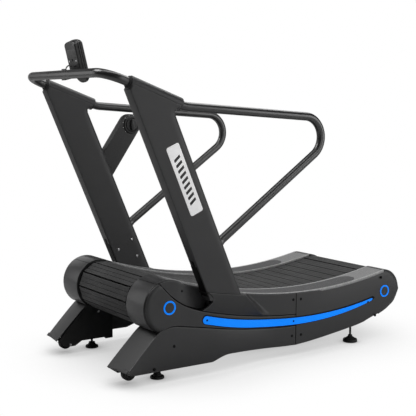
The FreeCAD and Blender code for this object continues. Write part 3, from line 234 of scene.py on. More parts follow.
class Shell:
    """Points, their edge values and faces. An edge value is 1 where an edge is abraded and carries a painted
    highlight, -1 where painted shade sits.
    """

    def __init__(self):
        self.points, self.edges, self.quads, self.caps, self.count = [], [], [], [], 0

    def grid(self, points, close_u=False, close_v=False, edge=0.0):
        """Adds a grid of points (rows, columns, 3) as quads, and returns its indices."""
        rows, columns = points.shape[:2]
        index = self.count + np.arange(rows * columns).reshape(rows, columns)
        u, v = np.meshgrid(np.arange(rows - 1 + close_u), np.arange(columns - 1 + close_v), indexing="ij")
        next_u, next_v = (u + 1) % rows, (v + 1) % columns
        quads = np.stack([index[u, v], index[next_u, v], index[next_u, next_v], index[u, next_v]], axis=-1)
        self.quads.append(quads.reshape(-1, 4))
        self.points.append(points.reshape(-1, 3))
        self.edges.append(np.broadcast_to(edge, (rows, columns)).reshape(-1))
        self.count += rows * columns
        return index

    def loft(self, rings, edge=0.0):
        """Adds closed rings joined one to the next, with a face over each end."""
        index = self.grid(rings, close_v=True, edge=edge)
        self.caps += [index[0], index[-1][::-1]]
        return self

    def plate(self, front, back, edge=0.0, back_edge=0.0):
        """Adds two grids of one size, joined round their borders."""
        ring = border(*front.shape[:2])
        outer, inner = self.grid(front, edge=edge)[ring], self.grid(back, edge=back_edge)[ring]
        self.quads.append(np.stack([outer, np.roll(outer, -1), np.roll(inner, -1), inner], axis=1))
        return self

    def add(self, other, move=lambda points: points):
        """Adds a copy of another shell, with its points moved."""
        self.quads += [quads + self.count for quads in other.quads]
        self.caps += [ring + self.count for ring in other.caps]
        self.points.append(move(np.concatenate(other.points)))
        self.edges += other.edges
        self.count += other.count
        return self

    def mirrored(self, side=-1):
        """The shell, or for side -1 its mirror image in the middle plane."""
        return Shell().add(self, lambda points: points * (side, 1, 1))

    def both_sides(self):
        return self.mirrored(1).add(self.mirrored())


def piece(name, shell, material, nodes=(), body="frame", sharp=38.0):
    """Makes a mesh object from a shell, closes its doubles, ties it to a body and hides the CAD nodes it stands in
    for.

    Faces with six or more corners, the flat ends, stay flat shaded.
    """
    mesh = bpy.data.meshes.new(name)
    faces = np.concatenate(shell.quads).tolist() + [ring.tolist() for ring in shell.caps]
    mesh.from_pydata((np.concatenate(shell.points) * MM).tolist(), [], faces)
    edge = mesh.attributes.new("edge", "FLOAT", "POINT")
    edge.data.foreach_set("value", np.concatenate(shell.edges).astype(np.float32))
    work = bmesh.new()
    work.from_mesh(mesh)
    bmesh.ops.remove_doubles(work, verts=work.verts, dist=1e-6)
    bmesh.ops.dissolve_degenerate(work, edges=work.edges, dist=1e-7)
    bmesh.ops.recalc_face_normals(work, faces=work.faces)
    work.to_mesh(mesh)
    work.free()
    corners = np.zeros(len(mesh.polygons), np.int32)
    mesh.polygons.foreach_get("loop_total", corners)
    mesh.polygons.foreach_set("use_smooth", corners < 6)
    mesh.set_sharp_from_angle(angle=math.radians(sharp))
    mesh.materials.append(material)
    made = placed(name, mesh)
    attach(made, body)
    if nodes:
        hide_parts(*nodes)


# Lines

def unit(way):
    return way / np.linalg.norm(way, axis=-1, keepdims=True)


def ease(t):
    """t held to 0..1 and eased at both ends: t * t * (3 - 2 t)."""
    t = np.clip(t, 0, 1)
    return t * t * (3 - 2 * t)


def polar(centre, radius, degrees):
    """(y, z) points on a circle: centre + radius * (cos, sin)."""
    angle = np.radians(degrees)
    return np.stack([centre[0] + radius * np.cos(angle), centre[1] + radius * np.sin(angle)], axis=-1)


def smooth_line(points, step=4.0):
    """A Catmull-Rom curve through points, sampled about every step millimetres."""
    points = np.asarray(points, float)
    ends = np.concatenate([[2 * points[0] - points[1]], points, [2 * points[-1] - points[-2]]])
    pieces = []
    for before, start, stop, after in zip(ends, ends[1:], ends[2:], ends[3:]):
        count = max(2, int(np.linalg.norm(stop - start) / step))
        t = np.linspace(0, 1, count, endpoint=False)[:, None]
        pieces.append(0.5 * (2 * start + (stop - before) * t + (2 * before - 5 * start + 4 * stop - after) * t ** 2
                             + (3 * start - before - 3 * stop + after) * t ** 3))
    return np.concatenate(pieces + [points[-1:]])


def run_length(points):
    return np.concatenate([[0], np.cumsum(np.linalg.norm(np.diff(points, axis=0), axis=1))])


def resampled(points, share):
    """Points at the given shares of a line's length."""
    along = run_length(points)
    return np.stack([np.interp(share * along[-1], along, part) for part in points.T], axis=-1)


def crowded(count):
    """Shares from 0 to 1 that crowd towards both ends, as half a cosine wave."""
    return 0.5 - 0.5 * np.cos(np.pi * np.linspace(0, 1, count))


def long_shares(length, step):
    """Even shares along a length, with five closer ones beside each end."""
    near = np.array([reach / length for reach in (0.4, 1.2, 2.6, 4.5, 7.0) if reach < length / 3])
    return np.unique(np.concatenate([np.linspace(0, 1, max(3, int(length / step))), near, 1 - near]))


def line_distance(points, line):
    """Distance of each point from each span of a closed line: (points, spans)."""
    span = np.roll(line, -1, axis=0) - line
    size = np.maximum((span ** 2).sum(1), 1e-12)
    offset = points[:, None, :] - line[None]
    share = np.clip((offset * span[None]).sum(2) / size[None], 0, 1)
    return np.linalg.norm(offset - share[..., None] * span[None], axis=2)


def inset(line, amount):
    """A closed line drawn inwards by an amount along its mitred corner normals."""
    before, after = np.roll(line, 1, axis=0), np.roll(line, -1, axis=0)
    turn = np.sign((line[:, 0] * after[:, 1] - after[:, 0] * line[:, 1]).sum())

    def normal(start, stop):
        way = stop - start
        way = way / np.maximum(np.linalg.norm(way, axis=1, keepdims=True), 1e-9)
        return np.stack([-way[:, 1], way[:, 0]], axis=1) * turn

    first = normal(before, line)
    middle = first + normal(line, after)
    return line + middle / np.maximum((middle * first).sum(1, keepdims=True), 0.4) * amount


def rounded_corners(corners, radii, steps=6):
    """A closed line through corners, each eased by an arc drawn as a quadratic curve of that reach."""
    corners = np.asarray(corners, float)
    points = []
    for before, corner, after, radius in zip(np.roll(corners, 1, axis=0), corners, np.roll(corners, -1, axis=0),
                                             np.broadcast_to(radii, len(corners))):
        if radius <= 0:
            points.append(corner[None])
            continue
        start, stop = (corner + unit(end - corner) * min(radius, 0.45 * np.linalg.norm(end - corner))
                       for end in (before, after))
        t = np.linspace(0, 1, steps + 1)[:, None]
        points.append((1 - t) ** 2 * start + 2 * t * (1 - t) * corner + t ** 2 * stop)
    return np.concatenate(points)


def eased(profile, radius=1.0, steps=3, ring=False):
    """A profile with its corners rounded; the two ends stay, unless it is a ring."""
    return rounded_corners(profile, radius if ring else [0] + [radius] * (len(profile) - 2) + [0], steps)


def bent_line(points, radii, step=5.0):
    """Straight runs joined by tangent arcs, as a bent steel tube has, with points along the arcs."""
    line = [points[0]]
    for before, corner, after, radius in zip(points, points[1:], points[2:], radii):
        into, out = unit(corner - before), unit(after - corner)
        turn = math.acos(np.clip(into @ out, -1, 1))
        start = corner - into * radius * math.tan(turn / 2)
        inward = unit(out - into * math.cos(turn))
        a = np.linspace(0, turn, max(3, int(radius * turn / step)) + 1)[:, None]
        line.extend(start + into * radius * np.sin(a) + inward * radius * (1 - np.cos(a)))
    return np.array(line + [points[-1]])


# Solids from lines

def panel(low, high, face, radius=3.0, drop=None, wall=4.0, rows=34, bow=0.0, tone=0.6, step=7.0, box=0.0,
          seam=1.0, seam_width=1.5, painted_shade=lambda y, z: 0 * y, crown=lambda y: 0 * y):
    """A moulded cover: the area between a lower and an upper line, at X = face(y, z), with rounded edges.

    Its grid runs along both lines (u) and from one to the other (v): P = low(u) + v * (high(u) - low(u)).
    Within radius r of its outline, at distance d, X falls by h * (1 - sqrt(1 - (1 - d / r) ** 2)).
    radius and drop are numbers or functions of the outline's (y, z) giving r and h; bow moves the front
    end back in its middle by that much; crown(y) is how far the face falls away, as a parabola, from its
    middle to its two long edges. With box set, the part is that thick and its back is rounded too.
    """
    u, v = long_shares(max(run_length(low)[-1], run_length(high)[-1]), step), crowded(rows)
    first, last = resampled(low, u), resampled(high, u)
    flat = first[:, None] + v[None, :, None] * (last - first)[:, None]
    flat[..., 0] += bow * (4 * v * (1 - v))[None] * np.clip(1 - u * 6, 0, 1)[:, None] ** 2
    line = flat[border(len(u), rows)]
    line = line[np.concatenate([[True], np.linalg.norm(np.diff(line, axis=0), axis=1) > 1e-6])]
    r, h = (value(line) if callable(value) else np.full(len(line), float(value))
            for value in (radius, radius if drop is None else drop))
    points = flat.reshape(-1, 2)
    fall, nearest = np.zeros(len(points)), np.zeros(len(points))
    for chunk in np.array_split(np.arange(len(points)), max(1, len(points) // 1500)):
        distance = line_distance(points[chunk], line)
        inward = np.clip(1 - distance / r[None], 0, 1)
        fall[chunk] = (h[None] * (1 - np.sqrt(1 - inward ** 2))).max(1)
        nearest[chunk] = distance.min(1)
    y, z = points.T
    x = face(y, z) - crown(y) * np.tile((2 * v - 1) ** 2, len(u))
    rear = x - box + fall if box else x - h.max() - wall
    # Edge values: a painted highlight, with abrasion, in a band about 3 mm inside the outline; painted shade
    # within seam_width of the outline; and further painted shade from the function passed for it, such as the
    # shadow under the cap.
    rubbed_highlight = tone * np.clip(1 - np.abs(nearest - 3.0) / 2.5, 0, 1)
    edge = np.clip(np.where(nearest < seam_width, -seam, rubbed_highlight) - 1.6 * painted_shade(y, z), -1, 1).reshape(len(u), rows)
    front, back = (np.column_stack([depth, points]).reshape(len(u), rows, 3) for depth in (x - fall, rear))
    return Shell().plate(front, back, edge, edge if box else 0.0)


def slab(line, low, high, radius=3.0, place=lambda across, flat: np.column_stack([across, flat]), steps=4,
         tone=1.0):
    """A flat part: a closed (y, z) line carried from low to high, with edges rounded to a radius.

    Ring k lies at low + r * (1 - cos a) and is drawn in by r * (1 - sin a), for a from 0 to 90 degrees.
    """
    line, angle = np.asarray(line, float), np.linspace(0, np.pi / 2, steps + 1)
    rise, draw = radius * (1 - np.cos(angle)), radius * (1 - np.sin(angle))
    rings = [*zip(low + rise, draw), *zip(high - rise[::-1], draw[::-1])]
    points = np.stack([place(np.full(len(line), x), inset(line, amount)) for x, amount in rings])
    # Edge values: tone on the rounding, abrasion with a painted highlight, or painted shade where tone is below 0;
    # a fifth of it where the rounding meets the ends and the sides.
    edge = [[tone if 0 < k % (steps + 1) < steps else 0.2 * tone] for k in range(len(rings))]
    return Shell().loft(points, edge)


def strip(lines, edge=0.0):
    """A long bar with a line for each of its edges; edge is a number, or one for each line."""
    return Shell().loft(np.stack([spread(*line) for line in lines], axis=1), edge)


def turned(profile, origin, direction=ACROSS, around=48, closed=False):
    """A turned part: (along, radius) points swung round an axis through origin; closed makes it a ring."""
    profile, axis = np.asarray(profile, float), unit(np.asarray(direction, float))
    side = unit(np.cross(axis, (0, 0, 1) if abs(axis[2]) < 0.9 else (1, 0, 0)))
    angle = np.linspace(0, 2 * np.pi, around, endpoint=False)[:, None]
    spoke = np.cos(angle) * side + np.sin(angle) * np.cross(axis, side)
    shell = Shell()
    index = shell.grid(np.asarray(origin, float) + profile[:, None, :1] * axis + profile[:, None, 1:] * spoke,
                       close_u=closed, close_v=True)
    shell.caps += [index[end] for end in (0, -1) if not closed and profile[end, 1] > 0]
    return shell


def tube(line, radius, around=40):
    """A round bar along a line. Its ring is carried from point to point without twist."""
    way = unit(np.gradient(line, axis=0))
    side, sides = np.cross(way[0], (0.3, 0.2, 0.93)), []
    for direction in way:
        side = unit(side - direction * (side @ direction))
        sides.append(side)
    sides = np.array(sides)
    angle = np.linspace(0, 2 * np.pi, around, endpoint=False)[None, :, None]
    spokes = np.cos(angle) * sides[:, None] + np.sin(angle) * np.cross(way, sides)[:, None]
    return Shell().loft(line[:, None] + radius * spokes)


def spread(x, y, z):
    return np.stack(np.broadcast_arrays(x, y, z), axis=-1)


def bisected(low, high, too_low):
    """The value between low and high up to which too_low holds."""
    for step in range(80):
        middle = (low + high) / 2
        low, high = (middle, high) if too_low(middle) else (low, middle)
    return middle


# The belt's loop

FRONT_AXIS, REAR_AXIS = (-601.0, 356.0), (816.0, 267.0)
FRONT_RADIUS, REAR_RADIUS = 120.0, 108.0
DECK_LOW, RETURN_LOW = 322.0, 100.0
SLATS, SLAT_GAP, SLAT_HALF, RIDGES = 48, 7.0, 245.0, 9
COVER_RISE, RAIL_RISE = 4.0, 6.0


def hanging_arc(low, front_offset, rear_offset):
    """Centre and radius of the arc with lowest point low whose centre is radius + offset from each shaft."""
    def short_of(radius):
        return sum(math.sqrt((radius + offset) ** 2 - (radius + low - axis[1]) ** 2)
                   for axis, offset in ((FRONT_AXIS, front_offset), (REAR_AXIS, rear_offset))
                   ) < REAR_AXIS[0] - FRONT_AXIS[0]

    radius = bisected(600.0, 20000.0, short_of)
    rise = radius + low - FRONT_AXIS[1]
    return (FRONT_AXIS[0] + math.sqrt((radius + front_offset) ** 2 - rise ** 2), radius + low), radius


def heading(origin, target):
    return math.degrees(math.atan2(target[1] - origin[1], target[0] - origin[0]))


DECK_CENTRE, DECK_RADIUS = hanging_arc(DECK_LOW, FRONT_RADIUS, REAR_RADIUS)
RETURN_CENTRE, RETURN_RADIUS = hanging_arc(RETURN_LOW, -FRONT_RADIUS, -REAR_RADIUS)
DECK_FRONT, DECK_REAR = heading(DECK_CENTRE, FRONT_AXIS), heading(DECK_CENTRE, REAR_AXIS)
RETURN_FRONT, RETURN_REAR = heading(RETURN_CENTRE, FRONT_AXIS), heading(RETURN_CENTRE, REAR_AXIS)
# Each run of slats: its body, the centre and radius of its arc, the angles where it starts and stops, and
# the turn from its radius to the slats' outward direction.
RUNS = {"top": ("deck_run", DECK_CENTRE, DECK_RADIUS, DECK_FRONT, DECK_REAR, 180),
        "rear": ("rear_drum", REAR_AXIS, REAR_RADIUS, DECK_REAR + 180, RETURN_REAR, 0),
        "return": ("return_run", RETURN_CENTRE, RETURN_RADIUS, RETURN_REAR, RETURN_FRONT, 0),
        "front": ("front_drum", FRONT_AXIS, FRONT_RADIUS, RETURN_FRONT, DECK_FRONT - 180, 0)}
RUN_LENGTHS = {run: math.radians(abs(stop - start)) * radius
               for run, (body, centre, radius, start, stop, flip) in RUNS.items()}
SLAT_PITCH = sum(RUN_LENGTHS.values()) / SLATS


def station(distance):
    """The run, place and outward direction at a distance round the loop from the front of the deck."""
    for run, (body, centre, radius, start, stop, flip) in RUNS.items():
        if distance < RUN_LENGTHS[run]:
            angle = start + (stop - start) * distance / RUN_LENGTHS[run]
            return run, polar(centre, radius, angle), math.radians(angle + flip)
        distance -= RUN_LENGTHS[run]


def deck_height(y, rise=0.0):
    """Height at y of an arc that lies above the running surface by rise."""
    return DECK_CENTRE[1] - np.sqrt((DECK_RADIUS - rise) ** 2 - (y - DECK_CENTRE[0]) ** 2)


def deck_line(front, rear, count=90):
    y = np.linspace(front, rear, count)
    return np.column_stack([y, deck_height(y, COVER_RISE)])


def slat_shell():
    """One slat about the origin: travel along Y, outer face at Z = 0, a profile carried along X.

    The outer face has nine low ridges; every third groove between them is wider and deeper.
    """
    half, middle = (SLAT_PITCH - SLAT_GAP) / 2, -4.5
    ridge = 2 * half / RIDGES
    # Edge values: abrasion with a painted highlight on the ridge tops; painted shade in the grooves, deeper in the
    # wide ones, and full painted shade on the slat's sides and underside, which darkens the gaps between slats.
    profile = [(-half, -3.0, -1.0), (-half, -1.2, -0.3)]     # y, z and edge value
    for k in range(RIDGES):
        before, after = (1.9 if (k + step) % 3 == 0 else 0.8 for step in (0, 1))
        stop = -half + (k + 1) * ridge
        profile += [(stop - ridge + before, 0.0, 0.25), (stop - after, 0.0, 0.25)]
        if k < RIDGES - 1:
            floor = (-2.4, -0.6) if after > 1 else (-0.7, -0.15)
            profile += [(stop - 0.4 * after, *floor), (stop + 0.4 * after, *floor)]
    profile += [(half, -1.2, -0.3), (half, -3.0, -1.0), (half, -8.0, -1.0), (half - 1, -9.0, -1.0),
                (-half + 1, -9.0, -1.0), (-half, -8.0, -1.0)]
    y, z, tone = np.transpose(profile)
    ends = np.array([(-SLAT_HALF, 1.5), (-SLAT_HALF + 0.6, 0.5), (-SLAT_HALF + 2, 0.0)])
    ends = np.concatenate([ends, ends[::-1] * (-1, 1)])
    x, draw = ends.T[:, :, None]
    # At the slat's two ends the edge value drops 0.4 below its shade part, darkening the ends.
    tones = np.where(draw > 0, np.minimum(tone, 0) - 0.4, tone)
    shell = Shell().loft(spread(x, y * (1 - draw / half), middle + (z - middle) * (1 + draw / middle)),
                         np.clip(tones, -1, 1))
    lug = rounded_corners([(-19, -9), (19, -9), (19, -20), (-19, -20)], 3, 2)
    for side in (-1, 1):
        # The lugs under the slat are in full painted shade.
        shell.add(slab(lug, side * 195 - 18, side * 195 + 18, 1.5, steps=2, tone=-1.0))
    return shell


def make_treads():
    pattern = slat_shell()
    shells = {run: Shell() for run in RUNS}
    for number in range(SLATS):
        run, spot, outward = station((number + 0.5) * SLAT_PITCH)
        cos, sin = math.sin(outward), -math.cos(outward)
        turn = np.array([(1, 0, 0), (0, cos, sin), (0, -sin, cos)])
        shells[run].add(pattern, lambda points: points @ turn + (0, *spot))
    for run, shell in shells.items():
        piece("slats_" + run, shell, slat_rubber, ["tread_" + run], RUNS[run][0], sharp=25)


# Covers

WIDE, NARROW, BULGE, SHOULDER = 438.0, 393.0, 474.0, 433.0
LEG_INNER, COLLAR_INNER, COLLAR_OUTER = 279.0, 262.0, 424.0
CAP_ROUND, REAR_ROUND, SEAM = 127.0, 118.0, 190.0
GROOVE_TOP = [(-648, 464), (-612, 428), (-576, 394), (-531, 363), (-487, 341), (-434, 322), (-382, 307),
              (-200, 266), (0, 231), (190, 214)]
ARCH_LINE = [(-740, 161), (-655, 243), (-612, 258), (-561, 262), (-480, 248), (-391, 232), (-268, 209),
             (-104, 181), (48, 163), (190, 156)]
LOWER_EDGE = [(-806, 64), (-780, 59), (-352, 57), (-274, 79), (-194, 78), (-30, 66), (90, 58), (190, 54)]
REAR_UNDER = [(678, 108), (744, 127), (789, 139), (834, 157), (866, 175), (900, 199), (923, 235), (934, 267)]


def lifted(line, rise):
    return [(y, z + rise) for y, z in line]


def shelf(inner, outer, y, z, drop, edge):
    """A strip between two X values along a (y, z) line, drop thick; the covers give it an edge value below 0,
    painted shade in the gap it fills.
    """
    return strip([(inner, y, z), (outer, y, z), (outer, y, z - drop), (inner, y, z - drop)], edge)


def wide_face(y, z=None):
    """Outer X of the front covers: wide at the cap, easing to narrow along the deck."""
    return WIDE + (NARROW - WIDE) * ease((y + 330) / 390)


def shoulder_face(y, z=None):
    return SHOULDER + (NARROW - SHOULDER) * ease((y + 560) / 170)


def groove_height(y):
    """Height of the groove above the sweep, straight between its points."""
    return np.interp(y, *np.transpose(GROOVE_TOP))


def mouth_height(y):
    """Height of the upper cover's top edge: a ramp beside the upright, then the deck's line."""
    beside = 412 - (y + 411) * 37 / 220
    return beside + (deck_height(y, COVER_RISE) - beside) * ease((y + 192) / 22)


def bulge_face(y, z):
    """Outer X of the cover round the upright: X grows from the groove to the mouth ahead of a slanting crease.

    With s the share of the height from groove to mouth, the crease lies at y = -31 - 160 * s ** 0.9.
    """
    rise = np.clip((z - groove_height(y)) / (mouth_height(y) - groove_height(y)), 0, 1)
    bulged = wide_face(y) + (BULGE - wide_face(y)) * (1 - (1 - rise) ** 1.6)
    crease = -31 - 160 * np.clip((z - 241) / 132, 0, 1) ** 0.9
    return NARROW + (bulged - NARROW) * (1 - np.clip((y - crease) / 60, 0, 1)) ** 2


def round_ends(line):
    """Edge radius of the cap: large round the drum, small along the sweep."""
    y, z = line.T
    away = np.hypot(y - FRONT_AXIS[0], z - FRONT_AXIS[1])
    return np.where((away > 118) & (y < -602) & ~((z > 400) & (y > -645)), 24.0, 4.0)


def shadow_below_cap(y, z):
    """Share of painted shadow under the cap: full at the cap's lower rim, fading over 16 mm."""
    away = np.hypot(y - FRONT_AXIS[0], z - FRONT_AXIS[1])
    low = np.clip((345 - z) / 60, 0, 1) * np.clip((-560 - y) / 30, 0, 1)
    return 0.8 * low * np.clip((away - 108) / 18, 0, 1)


def cap_and_sweep():
    """The cap over the drum's end, the sweep that carries the stripe, and the ledge behind the sweep's top."""
    over = polar(FRONT_AXIS, CAP_ROUND, np.linspace(180, 113, 40))
    under = polar(FRONT_AXIS, CAP_ROUND, np.linspace(180, 243, 38))
    high = np.concatenate([over[:-1], smooth_line([over[-1]] + GROOVE_TOP[1:])])
    low = np.concatenate([under[:-1], smooth_line([under[-1]] + lifted(ARCH_LINE[2:], 1.5))])
    y = np.linspace(-622, -372, 60)
    # The ledge is in painted shade (edge -0.7).
    ledge = shelf(374, wide_face(y) - 3, y, groove_height(y) - 5, 3, -0.7)
    # The cap gets a wider painted shade band at its outline (seam_width 2.4) and the painted shadow under its
    # lower rim.
    return ledge.add(panel(low, high, lambda y, z: wide_face(y) + 3 * np.clip((-540 - y) / 60, 0, 1), round_ends,
                           lambda line: np.where(round_ends(line) > 10, 17.0, 4.0), rows=48, step=5.0,
                           seam_width=2.4, painted_shade=shadow_below_cap))


def lower_cover():
    """Leg and lower band, with the leg's front wall, a ruled surface between the wall's inner and outer lines."""
    low = np.concatenate([smooth_line([(-818, 70)] + LOWER_EDGE[:2], 2.0), [LOWER_EDGE[2]],
                          smooth_line(LOWER_EDGE[2:])[1:]])
    shell = panel(low, smooth_line([(-821, 76)] + ARCH_LINE), wide_face, 5.0, rows=40,
                  crown=lambda y: 6 * np.clip((150 - y) / 260, 0, 1))
    share = np.linspace(0, 1, 40)[:, None]
    across = np.array([0, 0.012, 0.035, 0.06, 0.5, 0.95, 0.975, 0.992, 1.0])
    inner, outer = (resampled(smooth_line(line), share) for line in (
        [(-840, 74), (-843, 78), (-836, 88), (-744, 180), (-666, 250), (-612, 262)], [(-821, 76)] + ARCH_LINE[:3]))
    y, z = np.moveaxis(inner + across[:, None] * (outer - inner), 2, 0)
    x = LEG_INNER + across * (WIDE - 4 - LEG_INNER)
    lift = 1.4 * (1 - (2 * across - 1) ** 8)
    # Edge values on the leg's front wall: a painted highlight along its inner and outer edges, painted shadow at
    # its top under the collar.
    edge = [0.6, 0.6, 0, 0, 0, 0, 0, 1, 1] - 1.6 * np.clip((share - 0.72) / 0.16, 0, 1)
    shell.plate(spread(x, y - lift, z + lift), spread(x, y + 2.8, z - 2.8), np.clip(edge, -1, 1))
    sill = rounded_corners([(-830, 77), (-812, 69), (-796, 63), (-790, 69), (-816, 92)], 3, 3)
    return shell.add(slab(sill, 284, WIDE - 6, steps=3, tone=0.3))


def upper_cover():
    y = np.concatenate([np.linspace(-412, -196, 50), np.linspace(-192, -168, 14), np.linspace(-150, SEAM, 60)])
    shell = panel(smooth_line([(-421, 320)] + lifted(GROOVE_TOP[6:], 1.5)), np.column_stack([y, mouth_height(y)]),
                  bulge_face, 4.0, rows=44, bow=42.0, step=4.0)
    y = np.linspace(-410, -200, 40)
    # The shelf under the mouth is in painted shade (edge -0.9).
    return shell.add(shelf(396, BULGE - 3, y, mouth_height(y) - 2.5, 6, -0.9))


def shoulder_cover():
    """Recessed cover between the cap and the bulge, with a top that runs in to the step rail."""
    high = np.concatenate([polar(FRONT_AXIS, CAP_ROUND, np.linspace(112, 52, 30)), deck_line(-505, -352, 30)])
    shell = panel(smooth_line([(-646, 468)] + lifted(GROOVE_TOP[1:7], 4)), high, shoulder_face, 4.0, rows=30,
                  step=5.0)
    y, z = high.T
    # The shelf under the top is in painted shade (edge -0.5).
    return shell.add(shelf(np.where(y < -512, 420.0, 384.0), shoulder_face(y) - 3, y, z - 1.2, 5, -0.5))


def rear_rounding(line):
    """Edge radius of the rear cover: broad round its rear end, small at the seam and the rail."""
    return 4 + 26 * ease((line[:, 0] - 600) / 230)


def rear_cover():
    """Rear side cover and the wall that wraps the rear end."""
    high = np.concatenate([deck_line(SEAM + 1.5, 784), polar(REAR_AXIS, REAR_ROUND, np.linspace(90, 0, 50))])
    low = np.concatenate([smooth_line([(SEAM + 1.5, 54), (300, 61), (450, 76), (600, 96), REAR_UNDER[0]])[:-1],
                          smooth_line(REAR_UNDER)])
    shell = panel(low, high, lambda y, z: NARROW + 0 * y, rear_rounding,
                  lambda line: np.minimum(rear_rounding(line), 16.0), rows=46, step=5.5,
                  crown=lambda y: 9 * np.clip((y - 200) / 260, 0, 1))
    outside = np.concatenate([smooth_line(REAR_UNDER[2:])[:-1],
                              polar(REAR_AXIS, REAR_ROUND, np.linspace(0, 92, 50))])
    inside = REAR_AXIS + (outside - REAR_AXIS) * 0.955
    # The wrap's inner edge at X 249 carries a painted highlight (edge 0.8).
    return shell.add(strip([(NARROW - 15, *outside.T), (249, *outside.T), (249, *inside.T),
                            (NARROW - 15, *inside.T)], [0, 0.8, 0, 0]))


def collar():
    """Round collar beside the belt: a band swung about the front shaft in two pieces."""
    x, reach = eased([(COLLAR_INNER, 126), (COLLAR_INNER, 130), (COLLAR_OUTER, 130), (COLLAR_OUTER, 126)], 2.2, 4,
                     ring=True).T
    # A painted highlight along both rims of the collar, fading over 3 mm.
    tone = 0.4 * np.clip(1 - np.minimum(abs(x - COLLAR_INNER), abs(x - COLLAR_OUTER)) / 3, 0, 1)
    shell = Shell()
    for start, stop in ((46.0, 117.5), (118.5, 232.0)):
        angle = np.linspace(start, stop, int((stop - start) / 2.2))[:, None]
        shell.loft(spread(x, *np.moveaxis(polar(FRONT_AXIS, reach, angle), 2, 0)), tone)
    return shell


def collar_shade_rim():
    """Black flange inside a collar's inner end, put there to paint the shade on the collar's inner face."""
    near, far = COLLAR_INNER - 0.6, COLLAR_INNER + 3
    return strip([(x, *polar(FRONT_AXIS, radius, np.linspace(47, 231, 80)).T)
                  for x, radius in ((near, 111), (near, 128.6), (far, 128.6), (far, 111))])


def bowed(start, middle, stop):
    """A parabola through three points, as a quadratic curve whose middle lies at half its parameter."""
    t = np.linspace(0, 1, 70)[:, None]
    start, middle, stop = np.array([start, middle, stop], float)
    return (1 - t) ** 2 * start + 2 * t * (1 - t) * (2 * middle - (start + stop) / 2) + t ** 2 * stop


def stripe_edges(above=0.0, below=0.0, tail=0.0):
    """Lower and upper edges of the stripe from its round nose to its tail, drawn out by margins."""
    end = np.array([719.0 + tail, 231.0 + 0.5 * tail])
    nose, reach, tip = (-394, 270.5 + (above - below) / 2), 20.5 + (above + below) / 2, end + (9 + above, 3)
    high = bowed((-394, 291 + above), (183, 199 + above), end + (0, 7.5 + above))
    low = bowed((-394, 250 - below), (190, 163 - below), end - (2, 7.5 + below))
    return (np.concatenate([polar(nose, reach, np.linspace(180, 94, 12)), high,
                            [end + (6 + 0.7 * above, 6.5 + 0.6 * above), tip]]),
            np.concatenate([polar(nose, reach, np.linspace(180, 266, 12)), low,
                            [end + (4, -5.5 - 0.6 * below), tip]]))


def make_covers():
    """Puts the covers on, with the blue insert 0.9 mm proud in a black channel that paints the shade of its
    recess, and a blue ring round each hub.
    """
    for label, shell, panel_node in (("cap_and_sweep", cap_and_sweep(), "cap_panel"),
                               ("lower_cover", lower_cover(), "lower_cover"),
                               ("upper_cover", upper_cover(), "upper_cover"),
                               ("rear_cover", rear_cover(), "rear_cover")):
        for name, side in SIDES:
            piece(f"{label}_{name}", shell.mirrored(side), charcoal_moulding,
                  [f"{panel_node}_{name}"])
    stripe = panel(*stripe_edges(), lambda y, z: wide_face(y) + 0.9, 1.6, wall=1.0, rows=14, tone=0.5, seam=0.0)
    # The black channel is painted shade round the stripe, wider above it (6 mm) than below (2.6 mm).
    channel = panel(*stripe_edges(6.0, 2.6, 9.0), lambda y, z: wide_face(y) + 0.35, 1.0, 0.3, wall=2.0, rows=12,
                    tone=0.0)
    rings, hubs = Shell(), Shell()
    for x, axis in ((WIDE + 3, FRONT_AXIS), (NARROW, REAR_AXIS)):
        band = eased([(-1, 25), (2.2, 25), (2.2, 33), (-1, 33)], 1.2, ring=True)
        rings.add(turned(band, (x, *axis), around=64, closed=True))
        hubs.add(turned([(-1, 24), (1.2, 24), (1.8, 22), (1.1, 15), (0.9, 6), (0.9, 0)], (x, *axis)))
    for name, shell, material, slot, nodes in (
            ("shoulder_covers", shoulder_cover(), charcoal_moulding, "cover_plastic", ["shoulder_covers"]),
            ("drum_collars", collar(), collar_moulding, "collar_plastic", ["drum_collars"]),
            ("collar_shade_rims", collar_shade_rim(), foot_rubber, "soft_black", []),
            ("accent_stripes", stripe, blue_insert, "accent", ["accent_stripes"]),
            ("stripe_shade_channels", channel, black_screw, "soft_black", []),
            ("accent_rings", rings, blue_insert, "accent", ["accent_rings"]),
            ("ring_hubs", hubs, charcoal_moulding, "cover_plastic", [])):
        piece(name, shell.both_sides(), material, nodes)


# Step rails

RAIL_INNER, RAIL_OUTER = 248.0, 388.0


def step_rail():
    """A rail profile, with a bead along each edge, carried along an arc above the deck."""
    x, rise = eased([(RAIL_INNER, -12), (RAIL_INNER, 1.5), (RAIL_INNER + 1.5, 2.6), (RAIL_INNER + 7, 2.6),
                     (RAIL_INNER + 9.5, 0), (RAIL_OUTER - 11, 0), (RAIL_OUTER - 8.5, 2.2), (RAIL_OUTER - 1.5, 2.2),
                     (RAIL_OUTER, 0.8), (RAIL_OUTER, -12)], 1.4, ring=True).T
    y = np.linspace(-506, 812, 190)[:, None]
    bead = ((x < RAIL_INNER + 8.5) | (x > RAIL_OUTER - 10)) & (rise > -2)
    # The beads carry abrasion with a painted highlight (edge 0.85).
    return Shell().loft(spread(x, y, deck_height(y, RAIL_RISE + rise)), bead * 0.85)


